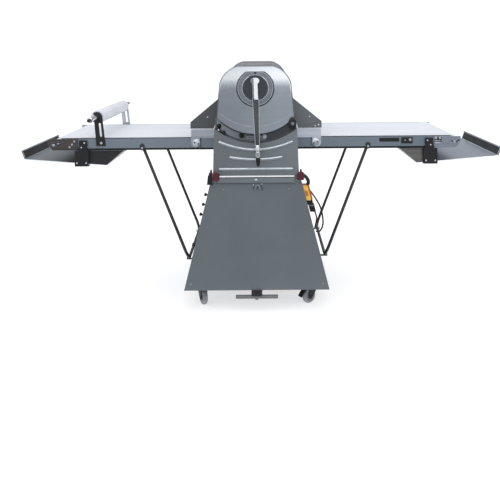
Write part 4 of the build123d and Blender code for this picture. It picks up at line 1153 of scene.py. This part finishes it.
BRACKET_SCREWS = ((0.892, 0.829), (0.908, 0.806), (0.883, 0.725), (0.931, 0.725))


def trays():
    """The trays, and the screws of the brackets that hold them."""
    for side, sign in SIDES:
        tray(side, sign)
        face = -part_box(f"{side}_tray_brackets")[0].y
        screws = bmesh.new()
        for end in ENDS:
            for x, z in BRACKET_SCREWS:
                screw_head((sign * x, end * face, z), (0, end, 0), 0.0042, screws)
        piece(f"{side}_bracket_screws", screws, "zinc", f"{side}_table")


def tray(side, sign):
    """A flour tray: folded sheet, dark inner lip, triangular gussets and the bright hems of its edges."""
    left = side == "left"
    body = f"{side}_table"
    low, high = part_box(f"{side}_tray")
    near, far = low.y, high.y
    inner, outer = sorted((abs(low.x), abs(high.x)))
    bottom, top = low.z + 0.001, high.z
    corner = (inner + 0.0938, bottom)
    toe = (outer - 0.0185, bottom + 0.034)
    lip = (outer - 0.0010, top - 0.002)
    hem_x = outer - 0.0105
    line = [(inner + 0.001, top - 0.004), corner, toe, lip, (hem_x, top - 0.001), (hem_x, top - 0.006)]
    sheet = bent_sheet(flip(round_line(line, 0.004), sign), 0.002, near, far)
    # Painted shade: the left tray's floor darkens towards the table and its gussets are near black; the right
    # tray's floor is shaded towards the table and its gussets take a darker copy of the tray steel.
    sheet_steel, gusset_steel = ("tray_floor_shaded", "lip_dark") if left else ("tray_shaded", "tray_dark")
    piece(f"{side}_tray_sheet", sheet, sheet_steel, body, f"{side}_tray", 0.5)
    inside = [(toe[0] - 0.0030, toe[1] + 0.0025), (lip[0] - 0.0030, lip[1] - 0.003)]
    lining = bent_sheet(flip(inside, sign), 0.0016, near + 0.001, far - 0.001)
    piece(f"{side}_tray_lip", lining, "lip_dark", body, bevel=0.4)
    gusset_x = 0.890
    floor_at = corner[1] + (gusset_x - corner[0]) * (toe[1] - corner[1]) / (toe[0] - corner[0])
    outline = [(inner + 0.002, top - 0.005), corner, (gusset_x, floor_at), (gusset_x, top - 0.004)]
    gussets, hems = bmesh.new(), bmesh.new()
    for y in (near, far - 0.002):
        prism(flip(outline, sign), y, y + 0.002, Y, gussets)
    lift = 0.0008
    edges = [(corner, toe), (outline[0], corner)]
    if left:
        edges.append(((inner + 0.002, top - 0.006), (gusset_x, top - 0.005)))
    for y in (near - 0.0006, far + 0.0006):
        for a, b in edges:
            tube([(sign * x, y, z + lift) for x, z in (a, b)], 0.0013, 8, hems)
    for y in (near + 0.002, far - 0.002):
        rise = [(toe[0] - 0.004, toe[1] + 0.002), (lip[0] - 0.004, lip[1])]
        tube([(sign * x, y, z) for x, z in rise], 0.0015, 8, hems)
    fold_x, fold_z = sign * (toe[0] - 0.006), toe[1] + 0.0022
    tube([(fold_x, near + 0.001, fold_z), (fold_x, far - 0.001, fold_z)], 0.0028, 10, hems)
    piece(f"{side}_tray_gussets", gussets, gusset_steel, body, bevel=0.5)
    piece(f"{side}_tray_hems", hems, "plate_steel", body)


# ---------------------------------------------------------------- support rods
def support_rods():
    """A U-shaped rod under each table, with an eye at each upper end."""
    radius, corner, eye_half = 0.008, 0.05, 0.007
    for side, sign in SIDES:
        low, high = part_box(f"{side}_support_rod")
        foot_x, top_x = sorted((abs(low.x), abs(high.x)))
        top_x, top_z = sign * (top_x - ROD_EYE), high.z - ROD_EYE
        foot_x, foot_z = sign * (foot_x + radius), low.z + radius
        y = high.y - radius
        path = [(top_x, -y, top_z), (foot_x, -y, foot_z), (foot_x, y, foot_z), (top_x, y, top_z)]
        bm = tube(fillet_path(path, corner, 12), radius, 20)
        for at in (-y, y):
            lathe(rounded(at - eye_half, at + eye_half, ROD_EYE, 0.0015), (top_x, 0, top_z), Y, 28, bm)
        piece(f"{side}_rod", bm, "rod_dark", f"{side}_support", f"{side}_support_rod")


# ---------------------------------------------------------------- roll-up pin
def rollup():
    """The white roller with its shaft, chrome grips and caps, in two slotted brackets."""
    body = "rollup_pin"
    low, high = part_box("rollup_pin")
    x, z = (low.x + high.x) / 2, (low.z + high.z) / 2
    axis, half = (x, 0, z), 0.300
    piece("pin_roller", lathe(rounded(-half, half, 0.035, 0.004, 5), axis, Y, 64), "pin_white", body, body)
    shaft = rounded(-half - 0.024, half + 0.024, 0.007, 0.0005)
    piece("pin_shaft", lathe(shaft, axis, Y, 24), "bright_steel", body)
    grip = [(0.020, 0.009), (0.024, 0.0128), (0.045, 0.0138), (0.090, 0.0130), (0.125, 0.0138),
            (0.144, 0.0134), (0.150, 0.010)]
    cap = [(0.149, 0.0078), (0.153, 0.008), (0.166, 0.0082), (0.173, 0.006), (0.1745, 0.003)]
    for name, profile, steps, material in (("pin_grips", grip, 32, "grip_steel"),
                                           ("pin_caps", cap, 28, "black_plastic")):
        bm = bmesh.new()
        for end in ENDS:
            lathe([(end * (half + along), radius) for along, radius in profile], axis, Y, steps, bm)
        piece(name, bm, material, body)
    pin_brackets(-x, z)


def pin_brackets(x, z):
    """The left table's brackets: an open hook around the shaft and a long slot in the leg."""
    foot, hook = 0.813, 0.028
    outline = [(x + 0.002, foot), (x - 0.046, foot), (x - 0.028, z + 0.003)]
    for radius, start, end, steps in ((hook, 170, 40, 14), (0.0076, 68, 248, 10), (hook, 12, -62, 8)):
        outline += arc((x, z), radius, start, end, steps)
    slot = slot_outline((x - 0.0155, 0.926), (x - 0.022, 0.866), 0.0055, 0)
    bolts = bmesh.new()
    for end, name, material, node in ((FRONT, "front", "black_paint", "rollup_brackets"),
                                      (REAR, "rear", "plate_steel", ())):
        plate = plate_with_hole(flip(outline, -1), flip(slot, -1), (end * 0.3091, end * PLATE_Y))
        piece(f"pin_bracket_{name}", plate, material, "left_table", node, 0.5)
        hex_bolt((0.023 - x, end * PLATE_Y, 0.828), (0, end, 0), 0.0055, bolts)
    piece("pin_bracket_bolts", bolts, "zinc", "left_table", bevel=0.3)


# ---------------------------------------------------------------- guards
GUARD_SCREWS = {"left": ((0.253, 0.956),), "right": ((0.327, 0.912), (0.309, 0.906), (0.280, 0.955))}


def guards():
    """Plates beside the head with a sloping flange, the bars between them and their screws."""
    pivot_x, bottom, wing_z, foot_x = 0.176, 0.897, 0.930, 0.222
    inside, outside = 0.295, 0.298
    pitch, first_x, first_z, fall = 0.023, 0.206, 1.002, 0.834
    for side, sign in SIDES:
        body = f"{side}_guard"
        low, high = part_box(body)
        pivot_z = high.z - 0.010
        outer = max(abs(low.x), abs(high.x))
        nose = [(foot_x, bottom), (pivot_x - 0.006, pivot_z - 0.008), (pivot_x - 0.006, pivot_z + 0.008)]
        front = [(pivot_x + 0.004, pivot_z + 0.010), (outer, wing_z), (outer, bottom)] + nose
        rear = [(pivot_x + 0.008, pivot_z + 0.006), (0.240, 0.980), (0.310, 0.918), (0.310, bottom)] + nose
        flange = [(pivot_x + 0.006, pivot_z + 0.008), (outer, wing_z), (outer - 0.0005, wing_z - 0.0025),
                  (pivot_x + 0.004, pivot_z + 0.0055)]
        plates = prism(flip(front, sign), -outside, -inside)
        prism(flip(rear, sign), inside, outside, Y, plates)
        prism(flip(flange, sign), -outside, -0.283, Y, plates)
        # The right guard's plates take the lighter copy of the guard paint: painted light.
        paint = "guard_paint" if side == "left" else "guard_paint_lit"
        piece(f"{side}_guard_plates", plates, paint, body, body, 0.6)
        bars = lathe(rounded(-0.311, 0.311, 0.006, 0.001), (sign * pivot_x, 0, pivot_z), Y, 24)
        for step in range(5):
            at = (sign * (first_x + pitch * step), 0, first_z - fall * pitch * step)
            lathe(rounded(-0.2962, 0.2962, 0.004, 0.0005), at, Y, 16, bars)
        piece(f"{side}_guard_bars", bars, "bright_steel", body)
        screws = bmesh.new()
        for x, z in GUARD_SCREWS[side]:
            screw_head((sign * x, -outside, z), (0, FRONT, 0), 0.0045, screws)
        piece(f"{side}_guard_screws", screws, "zinc", body)


# ---------------------------------------------------------------- hinge details
def hinge_details():
    """Covers and strips beside the hinges, and the round bosses with their two-hole faces."""
    covers, strips, bosses, dimples = (bmesh.new() for _ in range(4))
    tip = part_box("hinge_pins")[1].y
    boss = ((0.297, 0.004), (0.297, 0.0079), (0.3148, 0.0079), (0.3152, 0.0198), (tip - 0.003, 0.0198),
            (tip - 0.0008, 0.0184), (tip, 0.0165), (tip, 0.004))
    middle = ((tip - 0.002, 0.0002), (tip - 0.002, 0.004), (tip, 0.0041), (tip + 0.0003, 0.0003))
    dimple = ((tip - 0.001, 0.0046), (tip + 0.0004, 0.0043), (tip + 0.0005, 0.0003))
    inner, split = 0.2155, 0.8005
    for sign in (-1, 1):
        for end in ENDS:
            box((inner, 0.3093, split), (0.286, 0.3109, 0.852), covers, (sign, end))
            box((inner, 0.305, 0.7900), (0.3085, 0.3112, split), strips, (sign, end))
            spots = [(boss, 0, 0, 48, bosses), (middle, 0, 0, 24, bosses)]
            spots += [(dimple, dx, dz, 20, dimples) for dx, dz in arc((0, 0), 0.0105, 20, 200, 1)]
            for profile, dx, dz, steps, bm in spots:
                centre = (sign * (HINGE_X + dx), 0, HINGE_Z + dz)
                lathe([(end * y, radius) for y, radius in profile], centre, Y, steps, bm)
    piece("hinge_side_covers", covers, "rail_steel", bevel=0.4)
    piece("hinge_bosses", bosses, "boss_steel", "base", "hinge_pins")
    piece("hinge_dimples", dimples, "dial_dark")
    piece("hinge_bottom_strips", strips, "black_plastic", bevel=0.8)


# ---------------------------------------------------------------- castors and pedal
def pedal_parts():
    """The pedal's black bracket under the cabinet and the grey foot bar."""
    low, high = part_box("foot_pedal")
    y = (low.y + high.y) / 2
    pivot_z = JOINTS["pedal_rock"]["pos_m"][Z]
    half, gap, reach = 0.0272, 0.0095, 0.0165
    outline = [(-half, FLOOR_Z), (-half, pivot_z - 0.009), (-0.024, pivot_z - 0.012),
               (0.024, pivot_z - 0.012), (half, pivot_z - 0.009), (half, FLOOR_Z)]
    bracket = prism(outline, y - reach, y - gap)
    prism(outline, y + gap, y + reach, Y, bracket)
    hex_bolt((0, y - reach, pivot_z), (0, FRONT, 0), 0.006, bracket)
    piece("pedal_bracket", bracket, "black_paint", bevel=0.8)
    bar = lathe(rounded(low.x, high.x, 0.0095, 0.003), (0, y, pivot_z - 0.022), X, 32)
    top, bottom = pivot_z + 0.007, low.z
    lug = [(-0.009, top - 0.001), (-0.007, top), (0.007, top), (0.009, top - 0.001), (0.009, bottom + 0.004),
           (0.006, bottom), (-0.006, bottom), (-0.009, bottom + 0.004)]
    prism(lug, y - 0.006, y + 0.006, Y, bar)
    piece("pedal_bar", bar, "pedal_grey", "pedal", "foot_pedal", 0.6)


def mirrored_profile(half):
    """A lathe profile and its mirror image about the middle of its width."""
    return [(-along, radius) for along, radius in half] + [(along, radius) for along, radius in half[::-1]]


def castors():
    """Tread and hub of each wheel, and the bearings of the swivelling castors."""
    radius, half = 0.0375, 0.012
    tread = mirrored_profile([(half, 0.024), (half, radius - 0.007), (half - 0.002, radius - 0.003),
                              (half - 0.006, radius - 0.0004)])
    tread.insert(len(tread) // 2, (0, radius))
    hub = mirrored_profile([(half + 0.0014, 0.006), (half + 0.0014, 0.011), (half - 0.001, 0.013),
                            (half + 0.0003, 0.0145), (half + 0.0003, 0.0238)])
    for node in [f"{side}_{end}_wheel" for side, _ in SIDES for end in ("front", "rear")]:
        joint = JOINTS[f"{node}_spin"]
        turn = Vector((0, 1, 0)).rotation_difference(Vector(joint["axis"]).normalized()).to_matrix().to_4x4()
        place = Matrix.Translation(Vector(joint["pos_m"])) @ turn
        piece(f"{node}_tread", turned(lathe(tread, (0, 0, 0), Y, 48), place), "wheel_grey", node, node)
        piece(f"{node}_hub", turned(lathe(hub, (0, 0, 0), Y, 36), place), "dial_grey", node)
    bearing = [(0.0885, 0.018), (0.0885, 0.0245), (0.0905, 0.026), (0.0945, 0.026), (0.0962, 0.024),
               (0.0962, 0.018)]
    bearings = bmesh.new()
    for side, _ in SIDES:
        x, y, _ = JOINTS[f"{side}_castor_swivel"]["pos_m"]
        lathe(bearing, (x, y, 0), Z, 36, bearings)
    piece("castor_bearings", bearings, "zinc")


# ---------------------------------------------------------------- connector box and cables
def connector():
    """The amber connector with its face, sockets and ring, leaning with the cabinet's side; its rear part is
    orange as painted shade on the box's right side.
    """
    low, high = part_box("plug_box")
    near, far, top = low.y, high.y, high.z

    def leaning(offset, thick, drop_low, drop_high, start, end):
        near_x, far_x = offset, offset + thick
        corners = [(near_x, drop_low), (far_x, drop_low), (far_x, drop_high), (near_x, drop_high)]
        return prism([(cabinet_half(top - drop) + x, top - drop) for x, drop in corners], start, end)

    split = near + 0.020
    front = leaning(-0.003, 0.026, 0.075, 0, near, split)
    piece("plug_body_front", front, "amber_plastic", "base", "plug_box", 3, 4)
    # The rear part sticks out on the right in orange: painted shade for the amber box's side.
    rear = leaning(-0.003, 0.036, 0.076, 0.001, split - 0.0005, far)
    piece("plug_body_rear", rear, "orange_plastic", bevel=3, segments=4)
    face = leaning(0.003, 0.013, 0.052, 0.026, near - 0.0012, near + 0.002)
    piece("plug_face", face, "orange_plastic", bevel=1.2, segments=3)
    sockets = leaning(0.000, 0.030, 0.100, 0.073, near + 0.006, far - 0.006)
    join(sockets, leaning(0.003, 0.030, 0.1345, 0.103, near + 0.008, far - 0.008))
    piece("plug_sockets", sockets, "black_plastic", bevel=4, segments=4)
    ring = leaning(0.002, 0.032, 0.1045, 0.0985, near + 0.007, far - 0.007)
    piece("plug_ring", ring, "dial_grey", bevel=1.5, segments=3)


def cables():
    """Cables into the connector, out of it, and beside it along the cabinet."""
    runs = (
        (0.009, 18, ((0.222, -0.412, 0.682), (0.247, -0.405, 0.668), (0.262, -0.401, 0.648),
                     (0.264, -0.398, 0.632), (0.259, -0.397, 0.620))),
        (0.0038, 12, ((0.294, -0.395, 0.494), (0.304, -0.393, 0.462), (0.304, -0.390, 0.440),
                      (0.296, -0.387, 0.402))),
        (0.0042, 14, ((0.270, -0.375, 0.594), (0.304, -0.375, 0.545), (0.328, -0.374, 0.498),
                      (0.339, -0.372, 0.440), (0.336, -0.371, 0.404), (0.322, -0.369, 0.380),
                      (0.303, -0.368, 0.378))),
    )
    bm = bmesh.new()
    for radius, steps, points in runs:
        tube(smooth_path(points), radius, steps, bm)
    piece("cables", bm, "cable_black", "base", "power_cable")


for build in (cabinet_panels, side_knob_pieces, ledge, latch, head_cover, head_lines, recess_floor, neck_ribs,
              top_cover, dial, lever, buttons, recess_fittings, joystick, belts, tables, right_latch, trays,
              support_rods, rollup, guards, hinge_details, pedal_parts, castors, connector, cables):
    build()


# ---------------------------------------------------------------- stage, light and camera
def flat_card(name, half, y_low, y_high, z, material):
    """A level rectangle, as wide to the left as to the right."""
    bm = bmesh.new()
    corners = [(-half, y_low, z), (half, y_low, z), (half, y_high, z), (-half, y_high, z)]
    bm.faces.new([bm.verts.new(p) for p in corners])
    card = new_object(name, bm)
    card.data.materials.append(material.mat)
    return card


def glowing(name, color, rough, glow, strength):
    """A material without gloss that gives its own light."""
    made = Shader(name, color, rough)
    made.set("Specular IOR Level", 0.0)
    made.set("Emission Color", (*glow, 1))
    made.set("Emission Strength", strength)
    return made


def studio_world():
    """White to the eye, even for diffuse light, and graded by height and side for reflections."""
    world = bpy.data.worlds.new("studio")
    world.use_nodes = True
    nodes, links = world.node_tree.nodes, world.node_tree.links
    background = nodes["Background"]
    background.inputs["Color"].default_value = (0.95, 0.97, 1.0, 1)
    path = nodes.new("ShaderNodeLightPath")
    place = nodes.new("ShaderNodeTexCoord")
    split = nodes.new("ShaderNodeSeparateXYZ")
    links.new(place.outputs["Generated"], split.inputs[0])

    def graded(source, points):
        """A curve through (value, result) pairs, as a chain of linear steps."""
        total = None
        for (x0, y0), (x1, y1) in zip(points, points[1:]):
            step = nodes.new("ShaderNodeMapRange")
            for key, value in (("From Min", x0), ("From Max", x1), ("To Min", 0.0), ("To Max", y1 - y0)):
                step.inputs[key].default_value = value
            links.new(source, step.inputs["Value"])
            add = nodes.new("ShaderNodeMath")
            links.new(step.outputs["Result"], add.inputs[0])
            if total is None:
                add.inputs[1].default_value = y0
            else:
                links.new(total, add.inputs[1])
            total = add.outputs[0]
        return total

    def mixed(factor, first, second):
        mix = nodes.new("ShaderNodeMix")
        links.new(factor, mix.inputs[0])
        for socket, value in ((mix.inputs[2], first), (mix.inputs[3], second)):
            if isinstance(value, float):
                socket.default_value = value
            else:
                links.new(value, socket)
        return mix.outputs[0]

    front = graded(split.outputs["Z"], [(0.0, 0.95), (0.25, 0.9), (0.45, 2.4), (0.85, 2.6), (1.0, 1.6)])
    back = graded(split.outputs["Z"], [(0.0, 0.32), (0.3, 0.32), (0.6, 1.2), (1.0, 1.6)])
    side = graded(split.outputs["Y"], [(-0.35, 0.0), (0.35, 1.0)])
    seen = mixed(path.outputs["Is Diffuse Ray"], mixed(side, front, back), 0.75)
    links.new(mixed(path.outputs["Is Camera Ray"], seen, 1.1), background.inputs["Strength"])
    bpy.context.scene.world = world


def stage_and_light():
    """A white floor, a grey card that only reflections see, and four soft lamps."""
    reach = 30
    floor = glowing("floor", (0.62, 0.62, 0.62), 0.9, (1, 1, 1), 0.60)
    floor.vary_color(floor.noise(0.8, detail=5), 0.985, 1.0)
    flat_card("floor", reach, -reach, reach, 0, floor)
    grey = glowing("reflection grey", (0, 0, 0), 1.0, (0.29, 0.315, 0.345), 1.0)
    card_half, card_far, card_near, card_z = 14, -19.5, -0.7, 0.03
    card = flat_card("reflection_card", card_half, card_far, card_near, card_z, grey)
    card.visible_camera = False
    card.visible_diffuse = False
    card.visible_shadow = False
    studio_world()
    aim = Vector((0, 0, 0.7))
    for name, at, size, power in (
        ("key", (-2.2, -3.4, 3.6), 2.6, 25),
        ("fill", (2.8, -3.0, 2.6), 2.4, 12),
        ("top", (0.0, 0.2, 4.2), 3.5, 30),
        ("back", (0.5, 3.6, 2.8), 2.4, 20),
    ):
        data = bpy.data.lights.new(name, "AREA")
        data.shape = "SQUARE"
        data.size = size
        data.energy = power
        lamp = show(bpy.data.objects.new(name, data))
        lamp.location = at
        lamp.rotation_mode = "QUATERNION"
        lamp.rotation_quaternion = (aim - Vector(at)).to_track_quat("-Z", "Y")
        lamp.visible_glossy = False


def photo_camera():
    """A level view from in front, with the lens shifted down; the shift holds only at this place."""
    place = Vector((0.0466, -3.599, 1.330))
    yaw, pitch, roll = (math.radians(angle) for angle in (0.0914, -0.935, 0.449))
    lens, film = 45.3312, 36
    forward = Vector((math.sin(yaw) * math.cos(pitch), math.cos(yaw) * math.cos(pitch), -math.sin(pitch)))
    level = Vector((math.cos(yaw), -math.sin(yaw), 0))
    upright = level.cross(forward)
    right = level * math.cos(roll) - upright * math.sin(roll)
    up = upright * math.cos(roll) + level * math.sin(roll)
    data = bpy.data.cameras.new("camera")
    data.sensor_width = film
    data.lens = lens
    camera = show(bpy.data.objects.new("camera", data))
    camera.matrix_world = Matrix.Translation(place) @ Matrix((right, up, -forward)).transposed().to_4x4()
    bpy.context.scene.camera = camera
    for path, amount in (("shift_x", -0.0304), ("shift_y", -0.4299)):
        driver = data.driver_add(path).driver
        driver.type = "SCRIPTED"
        variable = driver.variables.new()
        variable.name = "y"
        variable.type = "TRANSFORMS"
        variable.targets[0].id = camera
        variable.targets[0].transform_type = "LOC_Y"
        variable.targets[0].transform_space = "WORLD_SPACE"
        driver.expression = f"{amount} if abs(y - {place.y}) < 0.001 else 0.0"


stage_and_light()
photo_camera()
bpy.context.scene.view_settings.view_transform = "Standard"
